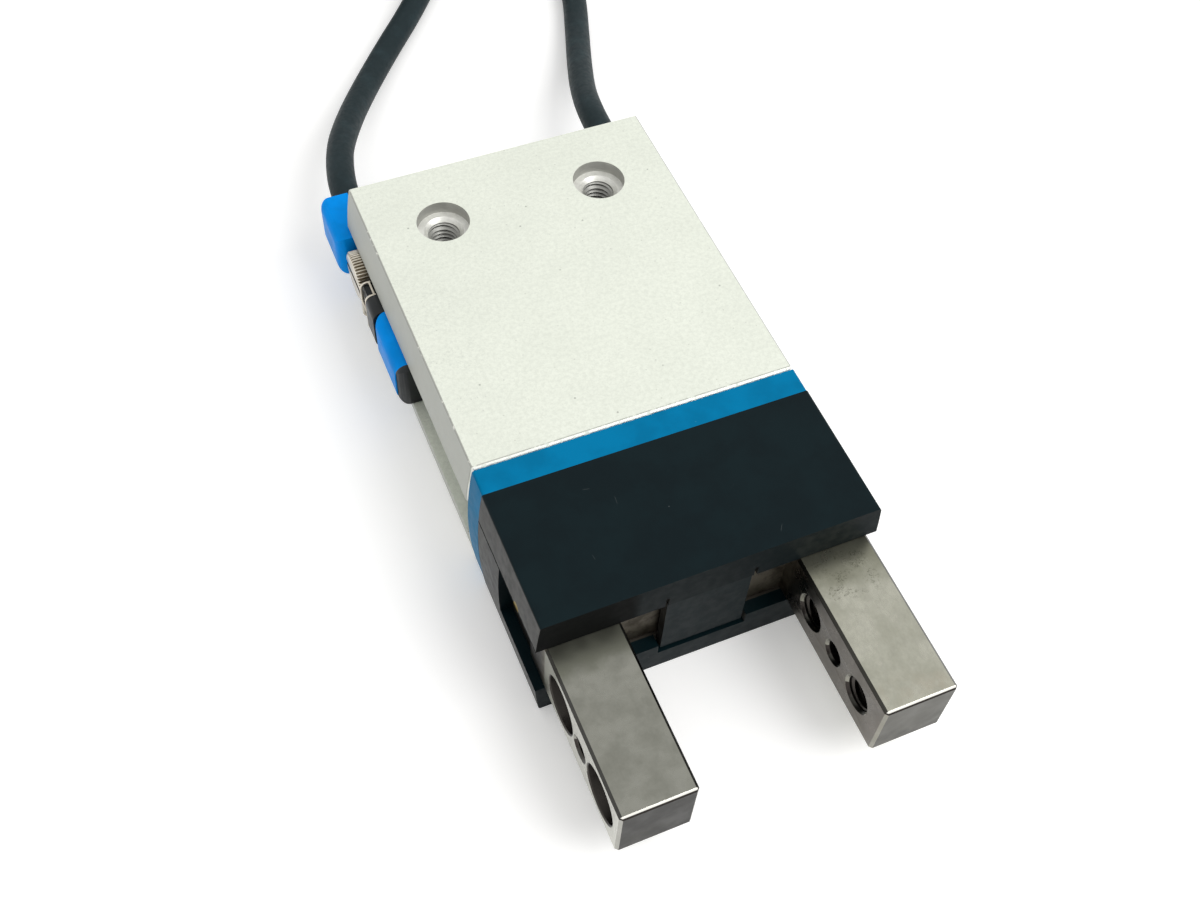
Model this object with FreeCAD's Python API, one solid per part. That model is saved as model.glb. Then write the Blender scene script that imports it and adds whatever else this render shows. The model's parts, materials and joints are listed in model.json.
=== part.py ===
import FreeCAD, Part
import math
import os

# A small pneumatic parallel gripper, lying on its wide face: an aluminium cylinder housing with a
# lever gear in its neck, two steel jaws in a T-slot guide, plastic caps over the neck, and two
# position sensors with cables in the side slots.
# Millimetres. X is across the width, the jaws point along -Y, +Z is up and Z 0 is the table.
# A station is a distance forward of the housing's rear face.

V = FreeCAD.Vector
TOUCH = 0.01            # how near an edge lies to a plane to count as on it

# Outer sizes
WIDTH = 29.8            # across the flat wide faces
BOW = 0.7               # how far each narrow side bows out at mid height
BAND_HALF = 14.97       # half widths and bows of the band and of the caps
BAND_BOW = 0.6
HOOD_HALF = 15.05
HOOD_BOW = 0.5
THICK = 14.6
EDGE_R = 0.18           # rounding of the housing's long outer edges
CAP_EDGE_R = 0.25       # rounding of the band's and the caps' long outer edges
HOUSING_END = 34.4      # stations where each outer piece ends
BAND_END = 36.9
HOOD_END = 50.0
JAW_TIP = 65.0
SENSOR_OVERHANG = 4.5   # how far the sensor heads stand out behind the rear face
MID = THICK / 2
HALF = WIDTH / 2
REAR_Y = (JAW_TIP + SENSOR_OVERHANG) / 2 - SENSOR_OVERHANG   # puts Y 0 midway along the object

# Housing details
FRONT_BREAK = 0.42      # chamfer round the front rim
BORE_R = 5.0
BORE_START = 3.5        # the blind end of the cylinder
MOUNT_PITCH = 15.8
MOUNT_STATION = 7.0
REAR_PITCH = 15.0
REAR_THREAD_DEPTH = 4.5
THREAD_R = 1.5          # M3
CENTRING_R = 2.5        # for 5 mm centring sleeves
CENTRING_DEPTH = 1.3
MOUTH_R = 1.9           # countersink where a thread starts
MOUTH_DEPTH = 0.4
PORT_STATIONS = (5.0, 26.0)
PORT_FACE_R = 2.6
PORT_FACE_DEPTH = 0.2
SLOT_OPENING = 5.2      # sensor slot on each narrow side
SLOT_CAVITY = 6.6
SLOT_LIP_X = 14.0
SLOT_FLOOR_X = 10.6

# Neck of the housing under the caps, which guides the jaws
CAP_SKIN = 1.0
NECK_X = 13.9
NECK_END = 48.8
CHAMBER_X = 10.8
CHAMBER_START = 36.4
CHAMBER_HALF = 3.3
GUIDE_START = 41.8
GUIDE_HALF = 3.55       # half the height of the jaw slot
GROOVE_START = 43.4     # T groove of the jaw slot
GROOVE_END = 46.2
GROOVE_HALF = 4.65
SNAP_STATION = 38.0     # rib and groove that hold the caps
SNAP_X = 10.0
SNAP_HALF = 0.4
SNAP_HIGH = 0.25
SNAP_PLAY = 0.05

# Tongue of the upper cap
TONGUE_X = 3.85
TONGUE_START = 48.9
TONGUE_END = 49.8
TONGUE_BOTTOM = 2.95
TONGUE_NOTCH_PLAY = 0.3
TONGUE_GAP = 0.45       # under the tongue
RELIEF_WIDE = 0.3       # slits beside the tongue's root
RELIEF_HIGH = 1.2

# Lever gear
PIVOT_X = 8.0
PIVOT_STATION = 39.4
PIN_R = 1.0
PIN_END_GAP = 0.2
RUNNING = 0.03          # radial clearance of turning and sliding fits
JAW_STROKE = 3.0
ARM_JAW = 5.4           # pivot to the tip in the jaw
ARM_ROD = 5.2           # pivot to the tip in the crosshead
LEVER_TILT = math.asin(JAW_STROKE / 2 / ARM_JAW)
ROD_STROKE = 2 * ARM_ROD * math.sin(LEVER_TILT)
TIP_JAW_R = 1.57
TIP_ROD_R = 1.3
ARM_HALF = 0.8
LEVER_HALF = 1.6        # half the thickness of the arms
BOSS_R = 2.2
BOSS_HALF = 3.2

# Piston and rod at rest, with the jaws closed
BUMPER_R = 3.8
BUMPER_END = 4.5
PISTON_START = 6.25
PISTON_STOP_R = 3.0
PISTON_END = 11.0
PISTON_BOSS_R = 2.8
MAGNET_R = 4.3
MAGNET_END = 13.0
KEEPER_END = 14.2
SEAL_START = 7.4
SEAL_END = 9.2
SEAL_FLOOR_R = 3.6
ROD_R = 2.0
ROD_START = 9.8
GUIDE_PLUG_START = 28.0
GUIDE_PLUG_END = 33.4
ROD_SEAL_R = 3.5
ROD_SEAL_END = 29.6
BUSH_R = 2.8
O_RING_STATION = 30.9
O_RING_R = 0.49
O_RING_GROOVE_HALF = 0.7
CIRCLIP_THICK = 0.66
CIRCLIP_R = 5.38
CIRCLIP_RIM = 0.8
CIRCLIP_GAP_HALF = 0.9
CIRCLIP_LUG_R = 0.85
CIRCLIP_LUG_HOLE_R = 0.4
CIRCLIP_LUG_AT = 4.28   # distance of the lugs from the axis
SPRING_R = 3.3
SPRING_WIRE_R = 0.35
SPRING_TURNS = 5
CROSS_STATION = PIVOT_STATION - ROD_STROKE / 2   # middle of the crosshead's groove
CROSS_R = 4.2
CROSS_NECK_R = 1.2
CROSS_FLAT = 3.2
CROSS_FLANGE = 1.35
SPIGOT_R = 0.8
RIVET_R = 1.5
RIVET_HIGH = 0.4

# Jaws, closed
JAW_IN = 8.0
JAW_OUT = 14.6
JAW_HALF = 3.45
JAW_BREAK = 0.25
FINGER_ROOT = 2.0        # how far a finger's bar reaches back into its carriage
CARRIAGE_IN = 3.2
CARRIAGE_OUT = 14.4
CARRIAGE_START = 42.1
CARRIAGE_END = 48.6
FLANGE_OUT = 10.8
FLANGE_PLAY = 0.1
JAW_POCKET_END = 46.4
JAW_POCKET_HALF = 1.75
FINGER_STATIONS = (53.4, 61.4)
DOWEL_STATION = 57.4
DOWEL_R = 1.0
FINGER_SINK = 0.25
RECESS_BREAK = 0.12     # broken edge of the centring recesses in the jaws

# Sensors, drawn on the +X side
SENSOR_TIP = 19.0
SENSOR_FLOOR_X = 11.0
SENSOR_LEDGE_X = 13.8
SENSOR_OUT_X = 16.7
SENSOR_FLANGE_HALF = 3.1
SENSOR_HALF = 2.45
SENSOR_ROUND = 1.0
HEAD_END = 1.5
HEAD_OUT_X = 17.2
HEAD_STEP = 2.4         # how far the head's inner part stands out behind the rear face
HEAD_STEP_X = 14.2
SCREW_STATION = 4.2
SCREW_R = 2.45
SCREW_SEAT_X = 14.2
SCREW_OUT_X = 16.5
SCREW_SHANK_R = 1.0
SCREW_TIP_X = 10.75
SCREW_SLOT = 0.6
SCREW_SLOT_DEPTH = 0.7
CLIP_START = 7.3
CLIP_END = 9.2
CLIP_SHEET = 0.35
STRIP_START = 11.5
STRIP_END = 18.2
STRIP_FLOOR_X = 14.6
STRIP_OUT_X = 16.8
STRIP_ROUND = 1.3

# Cables: route points are (x, distance behind the rear face, z)
CABLE_R = 1.45
CABLE_SIDES = 8         # the plain tubes are eight-sided
CABLE_X = 14.05
LAYER = 2.95            # height between two turns of a coil
ARC_SHARE = 0.45        # share of the shorter run that an arc takes up
LEFT_ROUTE = [
    (-CABLE_X, HEAD_STEP, MID), (-CABLE_X, 6.2, MID),
    (-13.6, 9.8, 7.1), (-12.35, 14.5, 6.2), (-9.75, 20.3, 4.3),
    (-6.4, 26.4, 2.4), (-1.8, 32.8, 1.6), (3.15, 38.7, 1.45), (8.0, 45.2, 1.45), (12.5, 52.3, 1.45),
    (15.75, 59.0, 1.45),
]
LEFT_COIL = (0.8, 66.0)
LEFT_COIL_R = 16.5
LEFT_TAIL = [
    (15.75, 59.0, 7.35), (18.1, 66.3, 7.1), (17.9, 74.3, 6.1), (16.2, 81.8, 5.2), (15.0, 88.6, 4.95),
    (14.8, 93.0, 4.95),
]
RIGHT_ROUTE = [
    (CABLE_X, HEAD_STEP, MID), (CABLE_X, 5.6, MID),
    (14.5, 10.2, 6.7), (15.75, 15.2, 5.1), (18.15, 21.9, 3.05),
    (20.8, 28.9, 1.65), (23.3, 36.0, 1.45), (25.3, 48.0, 1.45), (26.3, 66.0, 1.45), (26.0, 90.0, 1.45),
    (24.4, 112.0, 1.45), (22.5, 131.0, 1.45), (20.1, 148.0, 1.45),
]
RIGHT_COIL = (6.2, 146.0)
RIGHT_COIL_R = 14.0
RIGHT_TAIL = [(-7.6, 143.6, 4.4), (-6.5, 136.6, 4.6), (-5.8, 130.4, 4.95), (-5.7, 126.0, 4.95)]

# Cable plug, measured along its own axis from the cable's end
PLUG_BOOT_R = 2.2
PLUG_NECK_R = 3.3
PLUG_BOOT_END = 7.0
PLUG_GRIP_START = 8.0
PLUG_GRIP_R = 4.5
PLUG_GRIP_END = 17.0
PLUG_CORE_R = 2.9
PLUG_CORE_END = 25.5
PLUG_SHOULDER = 24.5
PLUG_SHOULDER_R = 3.4
PLUG_NUT_START = 17.2
PLUG_NUT_R = 4.85
PLUG_KNURL_END = 23.2
PLUG_THREAD_R = 3.95
PLUG_NUT_STEP = 24.2
PLUG_LENGTH = 28.0
PLUG_PIN_R = 0.5
PLUG_PIN_CIRCLE = 1.5
PLUG_PIN_END = 27.6


def box(x0, x1, station0, station1, z0, z1):
    return Part.makeBox(x1 - x0, station1 - station0, z1 - z0, V(x0, -station1, z0))


def drum_y(radius, station0, station1, x=0.0, z=MID):
    return Part.makeCylinder(radius, station1 - station0, V(x, -station0, z), V(0, -1, 0))


def drum_z(radius, x, station, z0, z1):
    return Part.makeCylinder(radius, z1 - z0, V(x, -station, z0), V(0, 0, 1))


def drum_x(radius, x0, x1, station, z=MID):
    return Part.makeCylinder(radius, x1 - x0, V(x0, -station, z), V(1, 0, 0))


def turned(profile):
    """A solid turned about the cylinder axis from (radius, station) corners."""
    corners = [V(radius, -station, MID) for radius, station in profile]
    face = Part.Face(Part.makePolygon(corners + corners[:1]))
    return face.revolve(V(0, 0, MID), V(0, 1, 0), 360)


def ring(inner, outer, station0, station1):
    return turned([(inner, station0), (outer, station0), (outer, station1), (inner, station1)])


def bowed_bar(station0, station1, half, bow):
    """The gripper's outer section, flat above and below and bowed at the sides."""
    low_left, low_right = V(-half, -station1, 0), V(half, -station1, 0)
    top_left, top_right = V(-half, -station1, THICK), V(half, -station1, THICK)
    wire = Part.Wire([
        Part.LineSegment(low_left, low_right).toShape(),
        Part.Arc(low_right, V(half + bow, -station1, MID), top_right).toShape(),
        Part.LineSegment(top_right, top_left).toShape(),
        Part.Arc(top_left, V(-half - bow, -station1, MID), low_left).toShape(),
    ])
    return Part.Face(wire).extrude(V(0, station1 - station0, 0))


def long_rounded(block, edge_r):
    """Rounds the edges that run along the gripper."""
    long_edges = [e for e in block.Edges if abs(e.tangentAt(e.FirstParameter).y) > 1 - TOUCH]
    return block.makeFillet(edge_r, long_edges)


def neck_block(end):
    return box(-NECK_X, NECK_X, HOUSING_END, end, CAP_SKIN, THICK - CAP_SKIN)


def front_broken(block):
    """Breaks the rim of the block's front end."""
    rim = [e for e in block.Edges if max(v.Y for v in e.Vertexes) < -HOUSING_END + TOUCH]
    return block.makeChamfer(FRONT_BREAK, rim)


def stepped_hole(at, inward, depth):
    """A thread with a countersunk mouth below a centring recess, from a point on a face."""
    recess = Part.makeCylinder(CENTRING_R, CENTRING_DEPTH, at, inward)
    floor = at + inward * CENTRING_DEPTH
    mouth = Part.makeCone(MOUTH_R, THREAD_R, MOUTH_DEPTH, floor, inward)
    thread = Part.makeCylinder(THREAD_R, depth, at, inward)
    return recess.fuse([mouth, thread])


def housing_holes():
    cuts = []
    for side in (-1, 1):
        top = V(side * MOUNT_PITCH / 2, -MOUNT_STATION, THICK)
        bottom = V(side * MOUNT_PITCH / 2, -MOUNT_STATION, 0)
        cuts.append(stepped_hole(top, V(0, 0, -1), MID))
        cuts.append(stepped_hole(bottom, V(0, 0, 1), MID))
        rear = V(side * REAR_PITCH / 2, 0, MID)
        cuts.append(stepped_hole(rear, V(0, -1, 0), REAR_THREAD_DEPTH))
        cuts.append(drum_z(PIN_R, side * PIVOT_X, PIVOT_STATION, 0, THICK))
    for station in PORT_STATIONS:
        cuts.append(drum_z(THREAD_R, 0, station, 0, MID))
        cuts.append(drum_z(PORT_FACE_R, 0, station, 0, PORT_FACE_DEPTH))
    return cuts


def sensor_slots():
    cuts = []
    for side in (-1, 1):
        lip = sorted((side * SLOT_LIP_X, side * WIDTH))
        cavity = sorted((side * SLOT_FLOOR_X, side * SLOT_LIP_X))
        half = SLOT_OPENING / 2
        cuts.append(box(*lip, -1, HOUSING_END, MID - half, MID + half))
        half = SLOT_CAVITY / 2
        cuts.append(box(*cavity, -1, HOUSING_END, MID - half, MID + half))
    return cuts


def snap(z_face, inward, play):
    """The rib that holds a cap on the neck, or with play its groove."""
    high = SNAP_HIGH + play
    z0, z1 = sorted((z_face, z_face + inward * high))
    half = SNAP_HALF + play
    return box(-SNAP_X - play, SNAP_X + play, SNAP_STATION - half, SNAP_STATION + half, z0, z1)


def housing():
    block = long_rounded(front_broken(bowed_bar(0, HOUSING_END, HALF, BOW)), EDGE_R)
    block = block.cut(sensor_slots())
    guide = [
        box(-CHAMBER_X, CHAMBER_X, CHAMBER_START, GUIDE_START, MID - CHAMBER_HALF, MID + CHAMBER_HALF),
        box(-WIDTH, WIDTH, GUIDE_START, HOOD_END, MID - GUIDE_HALF, MID + GUIDE_HALF),
        box(-WIDTH, WIDTH, GROOVE_START, GROOVE_END, MID - GROOVE_HALF, MID + GROOVE_HALF),
        snap(THICK - CAP_SKIN, -1, SNAP_PLAY),
        snap(CAP_SKIN, 1, SNAP_PLAY),
    ]
    cylinder = [
        drum_y(BORE_R, BORE_START, HOOD_END),
        drum_y(CIRCLIP_R, GUIDE_PLUG_END, GUIDE_PLUG_END + CIRCLIP_THICK + SNAP_PLAY),
    ]
    whole = block.fuse(neck_block(NECK_END)).removeSplitter()
    return whole.cut(guide + cylinder + housing_holes())


def trim_band():
    band = long_rounded(bowed_bar(HOUSING_END, BAND_END, BAND_HALF, BAND_BOW), CAP_EDGE_R)
    return band.cut(neck_block(NECK_END))


def cap_shell():
    hood = long_rounded(bowed_bar(BAND_END, HOOD_END, HOOD_HALF, HOOD_BOW), CAP_EDGE_R)
    return hood.cut(neck_block(NECK_END))


def upper_cap():
    above = box(-WIDTH, WIDTH, BAND_END, HOOD_END, MID + GUIDE_HALF, THICK)
    tongue = box(-TONGUE_X, TONGUE_X, TONGUE_START, TONGUE_END, TONGUE_BOTTOM, THICK - CAP_SKIN)
    rib = snap(THICK - CAP_SKIN, -1, 0)
    cap = cap_shell().common(above).fuse([tongue, rib]).removeSplitter()
    root = MID + GUIDE_HALF
    reliefs = []
    for side in (-1, 1):
        x0, x1 = sorted((side * TONGUE_X, side * (TONGUE_X + RELIEF_WIDE)))
        reliefs.append(box(x0, x1, NECK_END, HOOD_END, root, root + RELIEF_HIGH))
    return cap.cut(reliefs)


def lower_cap():
    below = box(-WIDTH, WIDTH, BAND_END, HOOD_END, 0, MID + GUIDE_HALF)
    slot = box(-WIDTH, WIDTH, GUIDE_START, HOOD_END, MID - GUIDE_HALF, THICK)
    half = TONGUE_X + TONGUE_NOTCH_PLAY
    notch = box(-half, half, NECK_END, HOOD_END, TONGUE_BOTTOM - TONGUE_GAP, THICK)
    shell = cap_shell().common(below).cut([slot, notch])
    return shell.fuse(snap(CAP_SKIN, 1, 0)).removeSplitter()


def lever_pins():
    low, high = CAP_SKIN + PIN_END_GAP, THICK - CAP_SKIN - PIN_END_GAP
    return [drum_z(PIN_R, side * PIVOT_X, PIVOT_STATION, low, high) for side in (-1, 1)]


def end_bumper():
    return ring(ROD_R / 2, BUMPER_R, BORE_START, BUMPER_END)


def rod_guide():
    outer = BORE_R - RUNNING
    groove = outer - 2 * O_RING_R
    groove_start, groove_end = O_RING_STATION - O_RING_GROOVE_HALF, O_RING_STATION + O_RING_GROOVE_HALF
    return turned([
        (ROD_SEAL_R, GUIDE_PLUG_START), (outer, GUIDE_PLUG_START), (outer, groove_start),
        (groove, groove_start), (groove, groove_end), (outer, groove_end),
        (outer, GUIDE_PLUG_END), (BUSH_R, GUIDE_PLUG_END), (BUSH_R, ROD_SEAL_END),
        (ROD_SEAL_R, ROD_SEAL_END),
    ])


def rod_bush():
    return ring(ROD_R + RUNNING, BUSH_R, ROD_SEAL_END, GUIDE_PLUG_END)


def lip_seal(inner, outer, station0, station1):
    """A seal ring with a V between its two lips, open towards the rear."""
    notch = (inner + outer) / 2
    quarter = (outer - inner) / 4
    return turned([
        (inner, station0), (notch - quarter, station0), (notch, (station0 + station1) / 2),
        (notch + quarter, station0), (outer, station0), (outer, station1), (inner, station1),
    ])


def rod_guide_o_ring():
    """A rubber ring squeezed to an eight-sided section in its groove."""
    middle = BORE_R - RUNNING - O_RING_R
    flat = O_RING_R * math.tan(math.radians(22.5))
    corners = [
        (O_RING_R, flat), (flat, O_RING_R), (-flat, O_RING_R), (-O_RING_R, flat),
        (-O_RING_R, -flat), (-flat, -O_RING_R), (flat, -O_RING_R), (O_RING_R, -flat),
    ]
    return turned([(middle + out, O_RING_STATION + along) for out, along in corners])


def rod_guide_circlip():
    """An open spring ring with two lugs that have holes for the pliers."""
    start = GUIDE_PLUG_END
    end = start + CIRCLIP_THICK
    clip = ring(CIRCLIP_R - CIRCLIP_RIM, CIRCLIP_R, start, end)
    clip = clip.cut(box(-CIRCLIP_GAP_HALF, CIRCLIP_GAP_HALF, start, end, MID, THICK))
    lean = math.asin((CIRCLIP_GAP_HALF + CIRCLIP_LUG_R) / CIRCLIP_LUG_AT)
    z = MID + CIRCLIP_LUG_AT * math.cos(lean)
    for side in (-1, 1):
        x = side * CIRCLIP_LUG_AT * math.sin(lean)
        clip = clip.fuse(drum_y(CIRCLIP_LUG_R, start, end, x, z))
        clip = clip.cut(drum_y(CIRCLIP_LUG_HOLE_R, start, end, x, z))
    return clip.common(drum_y(CIRCLIP_R, start, end)).removeSplitter()


def piston():
    outer = BORE_R - RUNNING
    return turned([
        (0, BUMPER_END + SNAP_PLAY), (PISTON_STOP_R, BUMPER_END + SNAP_PLAY),
        (PISTON_STOP_R, PISTON_START), (outer, PISTON_START), (outer, SEAL_START),
        (SEAL_FLOOR_R, SEAL_START), (SEAL_FLOOR_R, SEAL_END), (outer, SEAL_END),
        (outer, PISTON_END), (PISTON_BOSS_R, PISTON_END), (PISTON_BOSS_R, KEEPER_END),
        (ROD_R, KEEPER_END), (ROD_R, ROD_START), (0, ROD_START),
    ])


def piston_rod():
    rear = CROSS_STATION - TIP_ROD_R - RUNNING - CROSS_FLANGE
    front = CROSS_STATION + TIP_ROD_R + RUNNING + CROSS_FLANGE
    return turned([
        (0, ROD_START), (ROD_R, ROD_START), (ROD_R, rear), (SPIGOT_R, rear), (SPIGOT_R, front),
        (RIVET_R, front), (RIVET_R, front + RIVET_HIGH / 2), (SPIGOT_R, front + RIVET_HIGH),
        (0, front + RIVET_HIGH),
    ])


def crosshead():
    """A flattened spool: the lever tips ride in its groove."""
    groove = TIP_ROD_R + RUNNING
    reach = groove + CROSS_FLANGE
    spool = turned([
        (SPIGOT_R, CROSS_STATION - reach), (CROSS_R, CROSS_STATION - reach),
        (CROSS_R, CROSS_STATION - groove), (CROSS_NECK_R, CROSS_STATION - groove),
        (CROSS_NECK_R, CROSS_STATION + groove), (CROSS_R, CROSS_STATION + groove),
        (CROSS_R, CROSS_STATION + reach), (SPIGOT_R, CROSS_STATION + reach),
    ])
    flat = box(-WIDTH, WIDTH, 0, HOOD_END, MID - CROSS_FLAT, MID + CROSS_FLAT)
    return spool.common(flat)


def hexagon(centre, radius):
    """A closed six-sided section in the plane of X and Z."""
    corners = []
    for k in range(6):
        angle = math.radians(60 * k)
        corners.append(centre + V(radius * math.cos(angle), 0, radius * math.sin(angle)))
    return Part.makePolygon(corners + corners[:1])


def closing_spring():
    """A wire coil, six-sided in section, between the magnet keeper and the rod guide."""
    length = GUIDE_PLUG_START - KEEPER_END - 2 * SPRING_WIRE_R - 2 * SNAP_PLAY
    helix = Part.makeHelix(length / SPRING_TURNS, length, SPRING_R)
    section = hexagon(V(SPRING_R, 0, 0), SPRING_WIRE_R)
    coil = Part.Wire(helix).makePipeShell([section], True, True)
    coil.rotate(V(0, 0, 0), V(1, 0, 0), 90)
    coil.translate(V(0, -KEEPER_END - SPRING_WIRE_R - SNAP_PLAY, MID))
    return coil


def lever(side):
    """A bell crank: one arm forward into the jaw, one inward into the crosshead."""
    boss = drum_z(BOSS_R, 0, 0, MID - BOSS_HALF, MID + BOSS_HALF)
    low, high = MID - LEVER_HALF, MID + LEVER_HALF
    arms = [
        box(-ARM_HALF, ARM_HALF, 0, ARM_JAW, low, high),
        drum_z(TIP_JAW_R, 0, ARM_JAW, low, high),
        box(-ARM_ROD, 0, -ARM_HALF, ARM_HALF, low, high),
        drum_z(TIP_ROD_R, -ARM_ROD, 0, low, high),
    ]
    crank = boss.fuse(arms).removeSplitter()
    crank = crank.cut(drum_z(PIN_R + RUNNING, 0, 0, 0, THICK))
    crank.rotate(V(0, 0, 0), V(0, 0, 1), -math.degrees(LEVER_TILT))
    crank.translate(V(PIVOT_X, -PIVOT_STATION, 0))
    return mirrored(crank) if side < 0 else crank


def mirrored(shape):
    return shape.mirror(V(0, 0, 0), V(1, 0, 0))


def sunk_edge(x, inward, station, radius, depth):
    """The broken edge of a cross hole where it meets a jaw's face."""
    return Part.makeCone(radius + depth, radius, depth, V(x, -station, MID), V(inward, 0, 0))


def finger_holes():
    """Two threads with centring recesses on the outer face, and a dowel hole between them."""
    cuts = [
        drum_x(DOWEL_R, JAW_IN, JAW_OUT, DOWEL_STATION),
        sunk_edge(JAW_IN, 1, DOWEL_STATION, DOWEL_R, FINGER_SINK),
        sunk_edge(JAW_OUT, -1, DOWEL_STATION, DOWEL_R, FINGER_SINK),
    ]
    for station in FINGER_STATIONS:
        cuts += [
            drum_x(THREAD_R, JAW_IN, JAW_OUT, station),
            sunk_edge(JAW_IN, 1, station, THREAD_R, FINGER_SINK),
            drum_x(CENTRING_R, JAW_OUT - CENTRING_DEPTH, JAW_OUT, station),
            sunk_edge(JAW_OUT, -1, station, CENTRING_R, RECESS_BREAK),
        ]
    return cuts


def jaw(side):
    """A finger in front of a carriage whose T flanges run in the guide's groove."""
    low, high = MID - JAW_HALF, MID + JAW_HALF
    finger = box(JAW_IN, JAW_OUT, CARRIAGE_END - FINGER_ROOT, JAW_TIP, low, high)
    finger = finger.makeChamfer(JAW_BREAK, finger.Edges)
    carriage = box(CARRIAGE_IN, CARRIAGE_OUT, CARRIAGE_START, CARRIAGE_END, low, high)
    reach = GROOVE_HALF - FLANGE_PLAY
    flange = box(
        CARRIAGE_IN, FLANGE_OUT, GROOVE_START + FLANGE_PLAY, GROOVE_END - FLANGE_PLAY,
        MID - reach, MID + reach,
    )
    tip_x = PIVOT_X - JAW_STROKE / 2
    half = TIP_JAW_R + 2 * RUNNING
    pocket = box(
        tip_x - half, tip_x + half, CARRIAGE_START, JAW_POCKET_END,
        MID - JAW_POCKET_HALF, MID + JAW_POCKET_HALF,
    )
    whole = carriage.fuse([flange, finger]).removeSplitter()
    whole = whole.cut([pocket] + finger_holes())
    return mirrored(whole) if side < 0 else whole


def sensor_bar(station0, station1, out_x):
    """A length of the sensor's T section: a ledge in the slot and a neck with rounded edges."""
    ledge = box(
        SENSOR_FLOOR_X, SENSOR_LEDGE_X, station0, station1,
        MID - SENSOR_FLANGE_HALF, MID + SENSOR_FLANGE_HALF,
    )
    neck = box(
        SENSOR_LEDGE_X, out_x, station0, station1, MID - SENSOR_HALF, MID + SENSOR_HALF,
    )
    outer = [e for e in neck.Edges if min(v.X for v in e.Vertexes) > out_x - TOUCH]
    return ledge.fuse(neck.makeFillet(SENSOR_ROUND, outer)).removeSplitter()


def sensor_body():
    bar = sensor_bar(HEAD_END, SENSOR_TIP, SENSOR_OUT_X)
    screw_seat = box(SCREW_SEAT_X, WIDTH, HEAD_END, CLIP_START, 0, THICK)
    strip_seat = box(STRIP_FLOOR_X, WIDTH, STRIP_START, STRIP_END, 0, THICK)
    waist = box(SENSOR_LEDGE_X, WIDTH, CLIP_START, CLIP_END, 0, THICK)
    half = SENSOR_HALF - CLIP_SHEET
    waist = waist.cut(box(
        SENSOR_LEDGE_X, SENSOR_OUT_X - CLIP_SHEET, CLIP_START, CLIP_END, MID - half, MID + half,
    ))
    hole = drum_x(SCREW_SHANK_R + RUNNING, 0, WIDTH, SCREW_STATION)
    return bar.cut([screw_seat, strip_seat, waist, hole])


def sensor_head():
    """The head, with a step behind the rear face and a channel for the cable."""
    bar = sensor_bar(-SENSOR_OVERHANG, HEAD_END, HEAD_OUT_X)
    step = box(0, HEAD_STEP_X, -SENSOR_OVERHANG, -HEAD_STEP, 0, THICK)
    channel = drum_y(CABLE_R + RUNNING, -SENSOR_OVERHANG, -HEAD_STEP, CABLE_X)
    return bar.cut([step, channel])


def sensor_light_strip():
    strip = box(
        STRIP_FLOOR_X, STRIP_OUT_X, STRIP_START, STRIP_END, MID - SENSOR_HALF, MID + SENSOR_HALF,
    )
    outer = [
        e for e in strip.Edges
        if min(v.X for v in e.Vertexes) > STRIP_OUT_X - TOUCH
        and max(v.Y for v in e.Vertexes) > -STRIP_END + TOUCH
    ]
    return strip.makeFillet(STRIP_ROUND, outer)


def sensor_clip():
    """A sheet metal stirrup round the sensor's waist."""
    half = SENSOR_HALF
    outer = box(SENSOR_LEDGE_X, SENSOR_OUT_X, CLIP_START, CLIP_END, MID - half, MID + half)
    half = SENSOR_HALF - CLIP_SHEET
    inner = box(
        SENSOR_LEDGE_X, SENSOR_OUT_X - CLIP_SHEET, CLIP_START, CLIP_END, MID - half, MID + half,
    )
    return outer.cut(inner)


def sensor_clamp_screw():
    seat = SCREW_SEAT_X + SNAP_PLAY
    head = drum_x(SCREW_R, seat, SCREW_OUT_X, SCREW_STATION)
    rims = [e for e in head.Edges if e.Closed]
    head = head.makeChamfer(CLIP_SHEET / 2, rims)
    shank = drum_x(SCREW_SHANK_R, SCREW_TIP_X, seat, SCREW_STATION)
    half = SCREW_SLOT / 2
    slot = box(
        SCREW_OUT_X - SCREW_SLOT_DEPTH, WIDTH, SCREW_STATION - SCREW_R, SCREW_STATION + SCREW_R,
        MID - half, MID + half,
    )
    return head.fuse(shank).removeSplitter().cut(slot)


def on_side(shape, side):
    """Turns a sensor piece about the gripper's long axis on to the other side."""
    if side < 0:
        shape.rotate(V(0, 0, MID), V(0, 1, 0), 180)
    return shape


def route_edges(points):
    """Straight runs joined by tangent arcs, each as large as its two runs allow."""
    edges, at = [], points[0]
    for before, corner, after in zip(points, points[1:], points[2:]):
        back, ahead = before - corner, after - corner
        turn = math.pi - back.getAngle(ahead)
        trim = ARC_SHARE * min(back.Length, ahead.Length)
        radius = trim / math.tan(turn / 2)
        back.normalize()
        ahead.normalize()
        start, end = corner + back * trim, corner + ahead * trim
        inward = (back + ahead).normalize()
        middle = corner + inward * (radius / math.cos(turn / 2) - radius)
        edges.append(Part.LineSegment(at, start).toShape())
        edges.append(Part.Arc(start, middle, end).toShape())
        print("  turn %.1f deg, radius %.1f" % (math.degrees(turn), radius))
        at = end
    edges.append(Part.LineSegment(at, points[-1]).toShape())
    return edges


def cable_section(start, towards):
    """The cable's outline across its first run."""
    circle = Part.Circle(start, towards, CABLE_R)
    corners = [circle.value(2 * math.pi * k / CABLE_SIDES) for k in range(CABLE_SIDES)]
    return Part.makePolygon(corners + corners[:1])


def cable_tube(name, route):
    print(name)
    points = [V(*place) for place in route]
    path = Part.Wire(route_edges(points))
    section = cable_section(points[0], points[1] - points[0])
    tube = path.makePipeShell([section], True, False)
    share = tube.Volume / (path.Length * Part.Face(section).Area)
    print("  length %.1f, volume over section times length %.4f" % (path.Length, share))
    return tube


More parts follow.
